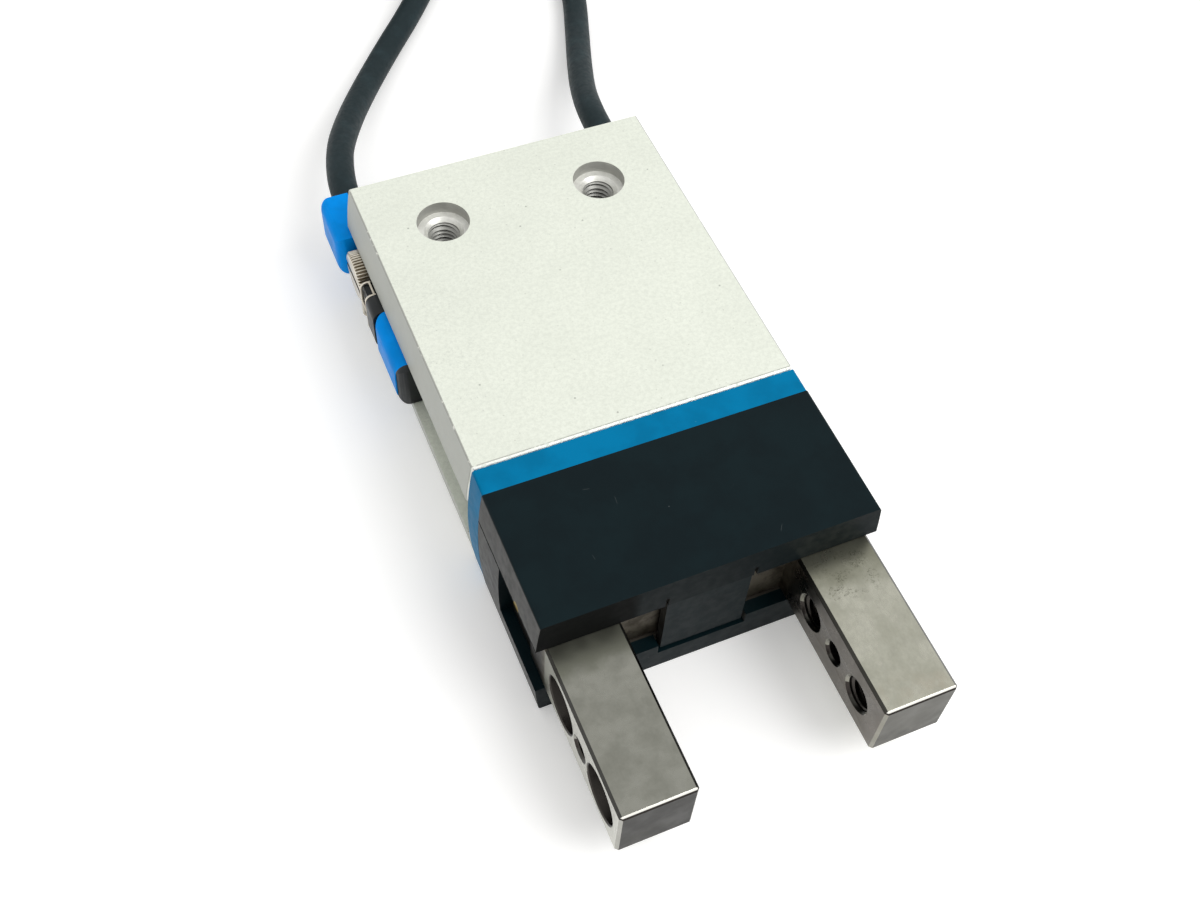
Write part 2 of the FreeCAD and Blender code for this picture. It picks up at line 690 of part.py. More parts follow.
def cable_coil(centre, radius):
    """The outer shape of two layers of turns."""
    x, y = centre
    inner, outer, high = radius - CABLE_R, radius + CABLE_R, LAYER + 2 * CABLE_R
    corners = [(inner, 0), (outer, 0), (outer, high), (inner, high)]
    points = [V(along, 0, z) for along, z in corners]
    coil = Part.Face(Part.makePolygon(points + points[:1])).revolve(V(0, 0, 0), V(0, 0, 1), 360)
    coil.translate(V(x, y, 0))
    return coil


def plug_turned(profile):
    """A plug piece turned about +Y from (radius, distance along) corners."""
    corners = [V(radius, along, 0) for radius, along in profile]
    face = Part.Face(Part.makePolygon(corners + corners[:1]))
    return face.revolve(V(0, 0, 0), V(0, 1, 0), 360)


def plug_grip():
    return plug_turned([
        (0, 0), (PLUG_BOOT_R, 0), (PLUG_NECK_R, PLUG_BOOT_END), (PLUG_GRIP_R, PLUG_GRIP_START),
        (PLUG_GRIP_R, PLUG_GRIP_END), (0, PLUG_GRIP_END),
    ])


def plug_core():
    return plug_turned([
        (0, PLUG_GRIP_END), (PLUG_CORE_R, PLUG_GRIP_END), (PLUG_CORE_R, PLUG_SHOULDER),
        (PLUG_SHOULDER_R, PLUG_SHOULDER), (PLUG_SHOULDER_R, PLUG_CORE_END), (0, PLUG_CORE_END),
    ])


def plug_pins():
    pins = []
    for k in range(3):
        angle = math.radians(90 + 120 * k)
        foot = V(PLUG_PIN_CIRCLE * math.cos(angle), PLUG_CORE_END, PLUG_PIN_CIRCLE * math.sin(angle))
        pins.append(Part.makeCylinder(PLUG_PIN_R, PLUG_PIN_END - PLUG_CORE_END, foot, V(0, 1, 0)))
    return pins


def plug_nut():
    bore = PLUG_CORE_R + FLANGE_PLAY
    mouth = PLUG_SHOULDER_R + FLANGE_PLAY
    return plug_turned([
        (bore, PLUG_NUT_START), (PLUG_NUT_R, PLUG_NUT_START), (PLUG_NUT_R, PLUG_KNURL_END),
        (PLUG_THREAD_R, PLUG_KNURL_END), (PLUG_THREAD_R, PLUG_LENGTH), (mouth, PLUG_LENGTH),
        (mouth, PLUG_NUT_STEP), (bore, PLUG_NUT_STEP),
    ])


def at_plug(shapes, tail):
    """Sets plug pieces at the end of a cable, along the cable's last run."""
    end = V(*tail[-1])
    backwards = tail[-1][1] < tail[-2][1]
    for shape in shapes:
        if backwards:
            shape.rotate(V(0, 0, 0), V(0, 0, 1), 180)
        shape.translate(end)
    return shapes


def sensor_set(name, side, route, coil, coil_r, tail):
    nodes = {
        "sensor_%s_body" % name: on_side(sensor_body(), side),
        "sensor_%s_head" % name: on_side(sensor_head(), side),
        "sensor_%s_light_strip" % name: on_side(sensor_light_strip(), side),
        "sensor_%s_clip" % name: on_side(sensor_clip(), side),
        "sensor_%s_clamp_screw" % name: on_side(sensor_clamp_screw(), side),
        "cable_%s" % name: cable_tube("cable_%s" % name, route),
        "cable_%s_coil" % name: cable_coil(coil, coil_r),
        "cable_%s_tail" % name: cable_tube("cable_%s_tail" % name, tail),
        "plug_%s_grip" % name: at_plug([plug_grip()], tail)[0],
        "plug_%s_core" % name: at_plug([plug_core()], tail)[0],
        "plug_%s_nut" % name: at_plug([plug_nut()], tail)[0],
        "plug_%s_pins" % name: at_plug(plug_pins(), tail),
    }
    return nodes


def gripper():
    nodes = {
        "housing": housing(),
        "trim_band": trim_band(),
        "upper_cap": upper_cap(),
        "lower_cap": lower_cap(),
        "lever_pins": lever_pins(),
        "end_bumper": end_bumper(),
        "rod_guide": rod_guide(),
        "rod_bush": rod_bush(),
        "rod_seal": lip_seal(ROD_R + RUNNING, ROD_SEAL_R, GUIDE_PLUG_START, ROD_SEAL_END),
        "rod_guide_o_ring": rod_guide_o_ring(),
        "rod_guide_circlip": rod_guide_circlip(),
        "closing_spring": closing_spring(),
        "piston": piston(),
        "piston_seal": lip_seal(SEAL_FLOOR_R, BORE_R - RUNNING, SEAL_START, SEAL_END),
        "piston_magnet": ring(PISTON_BOSS_R, MAGNET_R, PISTON_END, MAGNET_END),
        "magnet_keeper": ring(PISTON_BOSS_R, BORE_R - RUNNING, MAGNET_END, KEEPER_END),
        "piston_rod": piston_rod(),
        "crosshead": crosshead(),
        "lever_left": lever(-1),
        "lever_right": lever(1),
        "jaw_left": jaw(-1),
        "jaw_right": jaw(1),
    }
    nodes.update(sensor_set("left", -1, LEFT_ROUTE, LEFT_COIL, LEFT_COIL_R, LEFT_TAIL))
    nodes.update(sensor_set("right", 1, RIGHT_ROUTE, RIGHT_COIL, RIGHT_COIL_R, RIGHT_TAIL))
    return nodes


def main():
    os.makedirs("parts", exist_ok=True)
    print("lever turn %.3f deg, rod stroke %.4f" % (2 * math.degrees(LEVER_TILT), ROD_STROKE))
    for name, shape in gripper().items():
        solid = Part.makeCompound(shape) if isinstance(shape, list) else shape
        solid.translate(V(0, REAR_Y, 0))
        solid.exportStep("parts/%s.step" % name)
        facts = (name, len(solid.Solids), solid.Volume, solid.isValid())
        print("%s: %d solid(s), %.1f mm3, valid %s" % facts)


main()
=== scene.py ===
"""Finishes, threads, knurls, cables and light for the parallel gripper."""
import json
import math

import bmesh
import bpy
from mathutils import Matrix, Vector


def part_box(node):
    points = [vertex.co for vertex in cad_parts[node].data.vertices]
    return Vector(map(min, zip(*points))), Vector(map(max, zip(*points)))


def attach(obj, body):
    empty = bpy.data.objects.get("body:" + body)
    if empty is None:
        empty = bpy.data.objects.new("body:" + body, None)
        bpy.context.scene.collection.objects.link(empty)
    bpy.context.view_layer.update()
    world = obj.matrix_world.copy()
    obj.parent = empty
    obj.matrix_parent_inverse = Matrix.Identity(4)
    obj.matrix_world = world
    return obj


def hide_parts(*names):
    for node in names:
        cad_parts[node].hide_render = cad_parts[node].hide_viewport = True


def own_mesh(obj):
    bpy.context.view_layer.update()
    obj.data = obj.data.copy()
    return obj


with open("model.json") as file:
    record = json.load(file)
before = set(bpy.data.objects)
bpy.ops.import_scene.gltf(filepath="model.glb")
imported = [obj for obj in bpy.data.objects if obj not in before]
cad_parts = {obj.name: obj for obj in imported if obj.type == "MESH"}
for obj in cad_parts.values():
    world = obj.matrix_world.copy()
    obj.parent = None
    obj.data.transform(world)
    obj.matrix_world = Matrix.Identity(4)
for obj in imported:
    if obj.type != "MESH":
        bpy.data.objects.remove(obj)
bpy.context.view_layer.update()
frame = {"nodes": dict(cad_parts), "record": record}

MM = 0.001
MOUNTS = {mount["name"]: mount for mount in frame["record"]["mounts"]}
SIDES = (("left", -1), ("right", 1))

# Camera: place in millimetres and its own axes, fitted to the photograph's straight edges
CAMERA_AT = Vector((-34.137, -65.88, 111.38))
CAMERA_RIGHT = Vector((0.92063, -0.38795, 0.04388))
CAMERA_DOWN = Vector((-0.29675, -0.76834, -0.56710))
CAMERA_LENS = 42.195
SENSOR_WIDTH = 36.0

# Places on the gripper, in millimetres
REAR_Y = MOUNTS["rear_face"]["pos_m"][1] / MM
MID_Z = MOUNTS["rear_face"]["pos_m"][2] / MM
TOP_Z = MOUNTS["top_face"]["pos_m"][2] / MM
HOUSING_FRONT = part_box("trim_band")[1][1] / MM
HOOD_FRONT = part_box("upper_cap")[0][1] / MM
JAW_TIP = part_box("jaw_left")[0][1] / MM
JAW_TOP = 10.75         # how high the jaws' tops are
JAW_INNER = MOUNTS["finger_screws_right"]["pos_m"][0] / MM
JAW_OUTER = 14.6        # how far out the jaws' outsides are
PARTING_Z = 10.85       # where the two black caps meet
# The dark of a finger hole is painted shade.
HOLE_RIM = 0.08         # how far the dark of a finger hole reaches past its wall

# Marks that the photograph shows: the ranges of X and Y where they lie, in millimetres
SCUFF_X = (-14.9, -10.5)
SCUFF_Y = (REAR_Y - 27, REAR_Y - 13)
FLECKS_X = (9.3, 13.0)
FLECKS_Y = (HOOD_FRONT - 4.4, HOOD_FRONT - 1.0)

# Finishes
CRISP = 0.02            # how wide a sharp painted border is, in millimetres
SLOPE_FROM = 0.22       # shares of a direction in the normal of a broken edge
SLOPE_FULL = 0.30
HOUSING_METALLIC = 0.12

# Threads, in millimetres
THREAD_PITCH = 0.5
THREAD_DEPTH = 0.27
THREAD_ROOT = 0.03      # how far the ridge reaches into the wall
THREAD_BASE = 0.46      # half width of the ridge at the wall, in pitches
THREAD_CREST = 0.07     # and at its crest
THREAD_STEPS = 24       # to a turn
FINGER_SINK = 0.25      # countersink of the finger holes
CENTRING_DEPTH = 1.3
REAR_THREAD_LENGTH = 2.8
PORT_START = 0.4
PORT_LENGTH = 1.7

# Clamp screws and clips, in millimetres
SCREW_TEETH = 48
SCREW_HEAD = 2.25
SCREW_SHANK_R = 1.0
SCREW_NOTCH = 0.17
SCREW_BREAK = 0.2
SCREW_TIP_BREAK = 0.15
SCREW_CROWN = 0.04
SCREW_SLOT = 0.6
SCREW_SLOT_DEPTH = 0.7
CLIP_SHEET = 0.3
CLIP_CORNER = 0.7
CLIP_BEND_STEPS = 6
CLIP_EDGE = 0.06
CLIP_BAR = 0.2          # width of the bars round its windows
CLIP_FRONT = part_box("sensor_left_clip")[0][1] / MM
CLIP_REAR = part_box("sensor_left_clip")[1][1] / MM
CLIP_BARE_X = 15.62     # inside of this the sheet is black

# A blob of grease on the hood's left side: its Y and Z, its radius and its soft rim, in millimetres
GREASE_AT = (-15.4, 10.95)
GREASE_R = 0.5
GREASE_SOFT = 0.05

# Cables, in millimetres: route points are (x, distance behind the rear face, z)
CABLE_D = 2.9
FLOOR_Z = 1.45          # height of the axis of a cable that lies on the floor
LAYER = 2.95            # from one turn of a coil up to the next
TIE_THICK = 0.3
COIL_Z = FLOOR_Z + TIE_THICK + 0.05
COIL_STEPS = 24
LEFT_ROUTE = [
    (-14.05, 2.4, 7.3), (-14.05, 6.2, 7.3), (-13.6, 9.8, 7.1), (-12.35, 14.5, 6.2), (-9.75, 20.3, 4.3),
    (-6.4, 26.4, 2.4), (-1.8, 32.8, 1.6), (3.15, 38.7, 1.45), (8.0, 45.2, 1.45), (12.5, 52.3, 1.5),
]
LEFT_COIL = {"centre": (0.8, 66.0), "radius": 16.5, "enters": -25.0, "turns": 2.0}
LEFT_TAIL = [
    (18.1, 66.3, 7.3), (17.9, 74.3, 6.2), (16.2, 81.8, 5.2), (15.0, 88.6, 4.95), (14.8, 93.0, 4.95),
]
RIGHT_ROUTE = [
    (14.05, 2.4, 7.3), (14.05, 5.6, 7.3), (14.5, 10.2, 6.7), (15.75, 15.2, 5.1), (18.15, 21.9, 3.05),
    (20.8, 28.9, 1.65), (23.3, 36.0, 1.45), (25.3, 48.0, 1.45), (26.3, 66.0, 1.45), (26.0, 90.0, 1.45),
    (24.4, 112.0, 1.45), (22.5, 131.0, 1.5),
]
RIGHT_COIL = {"centre": (6.2, 146.0), "radius": 14.0, "enters": 8.2, "turns": 1.505}
RIGHT_TAIL = [(-6.5, 136.6, 4.75), (-5.8, 130.4, 4.95), (-5.7, 126.0, 4.95)]
RAMP_START = 250.0      # degrees of a turn between which a coil climbs to its next layer
RAMP_END = 330.0
TIE_WIDE = 2.4
TIE_GAP = 0.02
TIE_STEPS = 24
TIE_AT = {"left": 95.0, "right": 100.0}     # degrees round the coil
LOCK_HALF = (1.6, 1.9)
LOCK_SINK = 0.3
LOCK_RISE = 1.5
LOCK_BREAK = 0.3

# Cable plugs, in millimetres: distances along them start at the cable's end
PLUG_FLUTES = 12
PLUG_TEETH = 32
BOOT_RINGS = 5
BOOT_PITCH = 1.2
BOOT_R = 2.2            # at the cable; it grows by BOOT_TAPER over BOOT_LENGTH
BOOT_TAPER = 1.1
BOOT_LENGTH = 7.0
BOOT_GROOVE = 0.45
GRIP_R = 4.5
GRIP_FLUTE = 0.4
NUT_R = 4.85
NUT_NOTCH = 0.2
NUT_COLLAR_R = 4.65
NUT_BORE_R = 3.05
NUT_MOUTH_R = 3.5
NUT_REAR = 17.2
NUT_FLOOR = 24.2
NUT_FRONT = 28.0
SLEEVE_THREADS = 4
SLEEVE_ROOT_R = 3.65
SLEEVE_CREST_R = 3.95
PLUG_TOWARDS = {"left": 1, "right": -1}     # which way along Y each plug points

# Closing spring, in millimetres
SPRING_R = 3.3
SPRING_WIRE_R = 0.35
SPRING_TURNS = 5
SPRING_STEPS = 24       # to a turn
SPRING_SIDES = 8

# Widths of the broken edges of CAD nodes, in millimetres
EDGES = {"housing": 0.05, "trim_band": 0.08, "upper_cap": 0.12, "lower_cap": 0.12}
SIDE_EDGES = {
    "jaw_{}": 0.05, "sensor_{}_head": 0.30, "sensor_{}_body": 0.15, "sensor_{}_light_strip": 0.12,
    "plug_{}_core": 0.1,
}
WELD_REACH = 0.002
EDGE_ANGLE = 35.0       # degrees

# Floor and light: metres, watts and strengths
FLOOR_HALF = 2.0
FLOOR_DROP = 0.00003    # below the part, so that no two faces lie in one plane
FLOOR_LIFT = 0.20       # glow that the eye sees on the floor
KEY_AT = (0.18, -0.21, 0.33)
KEY_SIZE = 0.30
KEY_WATTS = 0.99
ROOM_Z = (0.45, 0.85)           # the room grows brighter between these heights of a direction
ROOM_STRENGTH = (0.54, 0.935)   # and these are its strengths there


def at_mm(x, y, z):
    """A place given in millimetres, in metres."""
    return Vector((x, y, z)) * MM


def middle_of(node):
    """The middle of a CAD node's box, in millimetres."""
    low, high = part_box(node)
    return (Vector(low) + Vector(high)) / 2 / MM


def hole_places(mount):
    """Where a two-hole pattern's holes are, in millimetres, and the way into them."""
    centre = Vector(mount["pos_m"]) / MM
    inward = -Vector(mount["axis"])
    step = Vector((0, 1, 0)) if abs(inward.x) > 0.5 else Vector((1, 0, 0))
    half = mount["dims"]["spacing_x_mm"] / 2
    return [centre - step * half, centre + step * half], inward


class Paint:
    """A node material in the making. Places in it are in millimetres of the part's frame."""

    def __init__(self, name, colour, roughness, metallic=0.0, specular=0.5):
        self.material = bpy.data.materials.new(name)
        self.material.use_nodes = True
        self.material.diffuse_color = (*colour, 1)
        self.tree = self.material.node_tree
        self.shader = self.tree.nodes["Principled BSDF"]
        self.feed("Base Color", (*colour, 1))
        self.feed("Roughness", roughness)
        self.feed("Metallic", metallic)
        self.feed("Specular IOR Level", specular)
        scaled = self.add("ShaderNodeVectorMath", operation="SCALE")
        scaled.inputs["Scale"].default_value = 1 / MM
        self.tree.links.new(self.add("ShaderNodeTexCoord").outputs["Object"], scaled.inputs[0])
        self.place = scaled.outputs[0]
        split = self.add("ShaderNodeSeparateXYZ")
        self.tree.links.new(self.place, split.inputs[0])
        self.x, self.y, self.z = split.outputs
        facing = self.add("ShaderNodeSeparateXYZ")
        self.tree.links.new(self.add("ShaderNodeNewGeometry").outputs["True Normal"], facing.inputs[0])
        self.nx, self.ny, self.nz = facing.outputs

    def add(self, kind, **settings):
        """A new node with these settings."""
        node = self.tree.nodes.new(kind)
        for key, value in settings.items():
            setattr(node, key, value)
        return node

    def put(self, socket, value):
        """Links a socket to another one, or sets its number or colour."""
        if isinstance(value, bpy.types.NodeSocket):
            self.tree.links.new(value, socket)
        else:
            socket.default_value = value

    def feed(self, name, value):
        """Puts a value on the shader's own input."""
        self.put(self.shader.inputs[name], value)

    def math(self, operation, first, second=0.0):
        """The result of one Math node."""
        node = self.add("ShaderNodeMath", operation=operation)
        self.put(node.inputs[0], first)
        self.put(node.inputs[1], second)
        return node.outputs[0]

    def ramp(self, value, low, high, to_low=0.0, to_high=1.0):
        """Goes smoothly from to_low at low to to_high at high."""
        node = self.add("ShaderNodeMapRange", interpolation_type="SMOOTHSTEP")
        for key, number in (("Value", value), ("From Min", low), ("From Max", high),
                            ("To Min", to_low), ("To Max", to_high)):
            self.put(node.inputs[key], number)
        return node.outputs[0]

    def all_of(self, *masks):
        """The product of masks."""
        result = masks[0]
        for mask in masks[1:]:
            result = self.math("MULTIPLY", result, mask)
        return result

    def any_of(self, *masks):
        """The largest of masks."""
        result = masks[0]
        for mask in masks[1:]:
            result = self.math("MAXIMUM", result, mask)
        return result

    def within(self, value, low, high, soft):
        """1 between low and high, fading out over soft on both sides."""
        return self.all_of(self.ramp(value, low - soft, low), self.ramp(value, high + soft, high))

    def stretched(self, stretch):
        """The place, scaled along each axis."""
        node = self.add("ShaderNodeVectorMath", operation="MULTIPLY")
        self.put(node.inputs[0], self.place)
        self.put(node.inputs[1], stretch)
        return node.outputs[0]

    def noise(self, per_mm, detail=3.0, roughness=0.55, stretch=(1, 1, 1)):
        """Noise from 0 to 1, with about per_mm features to the millimetre."""
        node = self.add("ShaderNodeTexNoise")
        self.put(node.inputs["Vector"], self.stretched(stretch))
        self.put(node.inputs["Scale"], per_mm)
        self.put(node.inputs["Detail"], detail)
        self.put(node.inputs["Roughness"], roughness)
        return node.outputs[0]

    def specks(self, per_mm, size, share):
        """Small spots of about that size, in about that share of the cells."""
        cells = self.add("ShaderNodeTexVoronoi")
        self.put(cells.inputs["Vector"], self.place)
        self.put(cells.inputs["Scale"], per_mm)
        spot = self.ramp(cells.outputs["Distance"], size * per_mm, size * per_mm * 0.4)
        chosen = self.add("ShaderNodeSeparateColor")
        self.put(chosen.inputs[0], cells.outputs["Color"])
        return self.all_of(spot, self.ramp(chosen.outputs[0], share, share * 0.9))

    def hairs(self, per_mm, width, share):
        """Fine curved lines, broken off where a second noise is low."""
        away = self.math("ABSOLUTE", self.math("SUBTRACT", self.noise(per_mm, 0.0), 0.5))
        line = self.ramp(away, width * per_mm, width * per_mm * 0.3)
        return self.all_of(line, self.ramp(self.noise(per_mm * 2.2, 1.0), 0.70 - share, 0.74 - share))

    def mix(self, share, first, second):
        """Goes from the first colour to the second as share goes from 0 to 1."""
        node = self.add("ShaderNodeMix", data_type="RGBA")
        self.put(node.inputs["Factor"], share)
        a, b = [socket for socket in node.inputs if socket.type == "RGBA"]
        self.put(a, first if isinstance(first, bpy.types.NodeSocket) else (*first, 1))
        self.put(b, second if isinstance(second, bpy.types.NodeSocket) else (*second, 1))
        return [socket for socket in node.outputs if socket.type == "RGBA"][0]

    def some(self, mask, share):
        """A mask, weakened to a share of itself."""
        return self.math("MULTIPLY", mask, share)

    def bump(self, height, depth_mm, strength=1.0):
        """Fine relief that bends the light and not the outline."""
        node = self.add("ShaderNodeBump")
        self.put(node.inputs["Height"], height)
        self.put(node.inputs["Distance"], depth_mm * MM)
        self.put(node.inputs["Strength"], strength)
        self.feed("Normal", node.outputs[0])

    def off_axis(self, across, up):
        """Distance from an axis: each pair is a coordinate across it and the value that it has there."""
        squares = []
        for coordinate, centre in (across, up):
            away = self.math("SUBTRACT", coordinate, centre)
            squares.append(self.math("MULTIPLY", away, away))
        return self.math("SQRT", self.math("ADD", *squares))

    def less(self, mask):
        """The rest of a mask."""
        return self.math("SUBTRACT", 1.0, mask)

    def sloping(self, first, second):
        """1 on faces that slope between the two ways that first and second measure."""
        return self.all_of(*(self.ramp(way, SLOPE_FROM, SLOPE_FULL) for way in (first, second)))


def machined_holes(paint, mount_name):
    """1 inside a pair of upright holes, below the top face and above the bottom one."""
    radius = MOUNTS[mount_name]["dims"]["hole_r_mm"] + CRISP
    places, _ = hole_places(MOUNTS[mount_name])
    reach = [paint.off_axis((paint.x, place.x), (paint.y, place.y)) for place in places]
    inside = paint.ramp(paint.math("MINIMUM", *reach), radius, radius - CRISP)
    return paint.all_of(inside, paint.within(paint.z, 2 * CRISP, TOP_Z - 2 * CRISP, CRISP))


def blasted_skin(paint):
    """The housing's blasted, anodised skin: clouds, grain, scuffs, narrow sides greyed as painted shade,
    specks.
    """
    cloud = paint.ramp(paint.noise(0.16, 4.0, 0.6), 0.35, 0.7)
    colour = paint.mix(paint.some(cloud, 0.5), (0.80, 0.83, 0.735), (0.74, 0.77, 0.68))
    grain = paint.ramp(paint.noise(2.6, 5.0, 0.78), 0.34, 0.68)
    colour = paint.mix(paint.some(grain, 0.42), colour, (0.56, 0.585, 0.51))
    scuffed = paint.all_of(
        paint.within(paint.x, *SCUFF_X, 1.5), paint.within(paint.y, *SCUFF_Y, 3.0),
        paint.ramp(paint.noise(3.6, 4.0, 0.7), 0.53, 0.64), paint.ramp(paint.noise(0.35, 2.0), 0.40, 0.60),
    )
    colour = paint.mix(paint.some(scuffed, 0.28), colour, (0.50, 0.52, 0.47))
    # painted shade: the narrow sides greyer than the top
    shaded_narrow_side = paint.ramp(paint.math("ABSOLUTE", paint.nx), 0.75, 0.92)
    colour = paint.mix(paint.some(shaded_narrow_side, 0.85), colour, (0.46, 0.47, 0.435))
    colour = paint.mix(paint.some(paint.specks(1.5, 0.10, 0.28), 0.5), colour, (0.47, 0.48, 0.42))
    return paint.mix(paint.some(paint.specks(0.7, 0.13, 0.16), 0.7), colour, (0.30, 0.31, 0.27))


def bored_metal(paint):
    """Bare metal in the mounting holes, with painted shade where it faces down and in the screw holes and
    painted light where it faces up.
    """
    marks = paint.ramp(paint.noise(1.3, 3.0, 0.6, (1, 1, 5)), 0.35, 0.65)
    # painted shade where the wall faces down, painted light where it faces up
    bored = paint.mix(paint.ramp(paint.nz, -0.7, -0.1), (0.14, 0.14, 0.13), (0.44, 0.44, 0.41))
    bored = paint.mix(paint.ramp(paint.nz, 0.2, 0.8), bored, (0.78, 0.78, 0.73))
    bored = paint.mix(paint.some(marks, 0.2), bored, (0.25, 0.25, 0.23))
    # painted shade in the screw holes
    return paint.mix(paint.some(machined_holes(paint, "top_screws"), 0.55), bored, (0.05, 0.05, 0.045))


def housing_aluminium():
    """Blasted aluminium with nicked edges darkened as painted shade, a bare and scored front rim and a neck
    painted almost black.
    """
    paint = Paint("housing_aluminium", (0.80, 0.83, 0.735), 0.50, metallic=HOUSING_METALLIC, specular=0.2)
    colour = blasted_skin(paint)
    at_edge = paint.sloping(paint.nz, paint.math("ABSOLUTE", paint.nx))
    # painted shade on the broken edges
    colour = paint.mix(paint.some(at_edge, 0.75), colour, (0.30, 0.30, 0.28))
    nicks = paint.all_of(at_edge, paint.ramp(paint.noise(0.8, 4.0, 0.75), 0.58, 0.63))
    neck = paint.ramp(paint.y, HOUSING_FRONT - 0.3, HOUSING_FRONT - 0.6)
    front = paint.all_of(
        paint.ramp(paint.y, HOUSING_FRONT + 0.40, HOUSING_FRONT + 0.34), paint.less(neck),
        paint.ramp(paint.noise(1.4, 4.0, 0.7, (1, 0.2, 0.2)), 0.36, 0.50),
    )
    bare = paint.any_of(nicks, front)
    colour = paint.mix(bare, colour, (0.72, 0.72, 0.67))
    scored = paint.all_of(
        paint.within(paint.y, HOUSING_FRONT + 0.40, HOUSING_FRONT + 0.46, 0.03),
        paint.ramp(paint.noise(0.9, 4.0, 0.7, (1, 0.2, 0.2)), 0.34, 0.48),
    )
    colour = paint.mix(paint.some(scored, 0.7), colour, (0.34, 0.34, 0.31))
    # the neck, behind the front rim, painted almost black
    colour = paint.mix(neck, colour, (0.045, 0.04, 0.032))
    machined = machined_holes(paint, "top_centring")
    paint.feed("Base Color", paint.mix(machined, colour, bored_metal(paint)))
    bright = paint.any_of(paint.some(machined, 0.5), bare)
    paint.feed("Metallic", paint.ramp(bright, 0.0, 1.0, HOUSING_METALLIC, 1.0))
    satin = paint.ramp(paint.noise(0.7, 3.0), 0.3, 0.7, 0.47, 0.55)
    paint.feed("Roughness", paint.math("SUBTRACT", satin, paint.some(bright, 0.16)))
    height = paint.all_of(paint.noise(6.0, 3.0, 0.7), paint.less(machined))
    paint.bump(height, 0.012, 0.30)
    return paint.material


def turned_metal(name, colour, roughness):
    """Bare metal with fine tool marks across the part's long axis."""
    paint = Paint(name, colour, roughness, metallic=1.0)
    marks = paint.noise(0.5, 3.0, 0.6, (1, 14, 1))
    shade = [channel * 0.8 for channel in colour]
    paint.feed("Base Color", paint.mix(paint.ramp(marks, 0.35, 0.65), colour, shade))
    paint.feed("Roughness", paint.ramp(marks, 0.3, 0.7, roughness - 0.06, roughness + 0.08))
    paint.bump(marks, 0.006, 0.4)
    return paint.material


def finger_holes(paint):
    """1 inside the jaws' screw, centring and dowel holes."""
    reach = []
    for name in ("finger_centring_left", "finger_dowel_left"):
        mount = MOUNTS[name]
        paired = "hole_r_mm" in mount["dims"]
        rim = mount["dims"]["hole_r_mm" if paired else "r_mm"] + HOLE_RIM
        places = hole_places(mount)[0] if paired else [Vector(mount["pos_m"]) / MM]
        for place in places:
            away = paint.off_axis((paint.y, place.y), (paint.z, place.z))
            reach.append(paint.ramp(away, rim, rim - CRISP))
    sideways = paint.math("ABSOLUTE", paint.x)
    depth = paint.within(sideways, JAW_INNER + FINGER_SINK, JAW_OUTER - 0.03, CRISP)
    return paint.all_of(paint.any_of(*reach), depth)


def jaw_flecks(paint, right):
    """1 on the dark flecks on top of the right jaw."""
    flecks = paint.all_of(
        paint.ramp(paint.noise(4.6, 4.0, 0.75), 0.50, 0.64), paint.ramp(paint.noise(0.8, 2.0), 0.42, 0.58),
    )
    return paint.all_of(
        right, paint.within(paint.y, *FLECKS_Y, 0.8), paint.within(paint.x, *FLECKS_X, 0.9),
        paint.ramp(paint.nz, 0.80, 0.95), flecks,
    )


def ground_faces(paint, right, hood_shade_left, hood_shade_right):
    """The jaws' ground faces: painted light on the right jaw and on the outsides, painted shade by the hood
    and on the insides, flecked and worn.
    """
    cloud = paint.ramp(paint.noise(0.5, 4.0, 0.6), 0.3, 0.7)
    # painted light: the right jaw paler than the left
    on_left = paint.mix(cloud, (0.28, 0.28, 0.245), (0.205, 0.206, 0.176))
    on_right = paint.mix(cloud, (0.47, 0.465, 0.39), (0.36, 0.357, 0.293))
    colour = paint.mix(right, on_left, on_right)
    outward = paint.math("MULTIPLY", paint.nx, paint.x)
    outer = paint.ramp(outward, 0.80 * JAW_INNER, 0.95 * JAW_INNER)
    # painted light on the outsides
    colour = paint.mix(outer, colour, (0.59, 0.59, 0.535))
    fine = paint.ramp(paint.noise(3.5, 4.0, 0.7, (1.0, 0.5, 1.0)), 0.35, 0.7)
    colour = paint.mix(paint.some(fine, 0.25), colour, (0.27, 0.267, 0.23))
    # painted shade by the hood
    colour = paint.mix(paint.some(hood_shade_left, 0.80), colour, (0.18, 0.185, 0.145))
    colour = paint.mix(paint.some(hood_shade_right, 0.65), colour, (0.17, 0.17, 0.12))
    colour = paint.mix(paint.some(jaw_flecks(paint, right), 0.75), colour, (0.10, 0.10, 0.07))
    worn = paint.all_of(
        right, paint.ramp(paint.y, JAW_TIP + 3.5, JAW_TIP + 0.5),
        paint.ramp(paint.noise(0.6, 4.0), 0.42, 0.68),
    )
    colour = paint.mix(paint.some(worn, 0.45), colour, (0.37, 0.33, 0.255))
    inner = paint.ramp(outward, -0.80 * JAW_INNER, -0.95 * JAW_INNER)
    # painted shade on the insides
    return paint.mix(paint.some(inner, 0.85), colour, (0.085, 0.072, 0.064))


def shaded_ends(paint, right, blotch):
    """The jaws' end faces, darkened as painted shade: the left one darker, both darker low down."""
    colour = paint.mix(right, (0.036, 0.035, 0.033), (0.11, 0.108, 0.096))
    # darker low down
    low_darkening = paint.all_of(paint.ramp(paint.z, 8.0, 4.5), paint.ramp(blotch, 0.40, 0.60))
    return paint.mix(paint.some(low_darkening, 0.6), colour, (0.05, 0.05, 0.042))


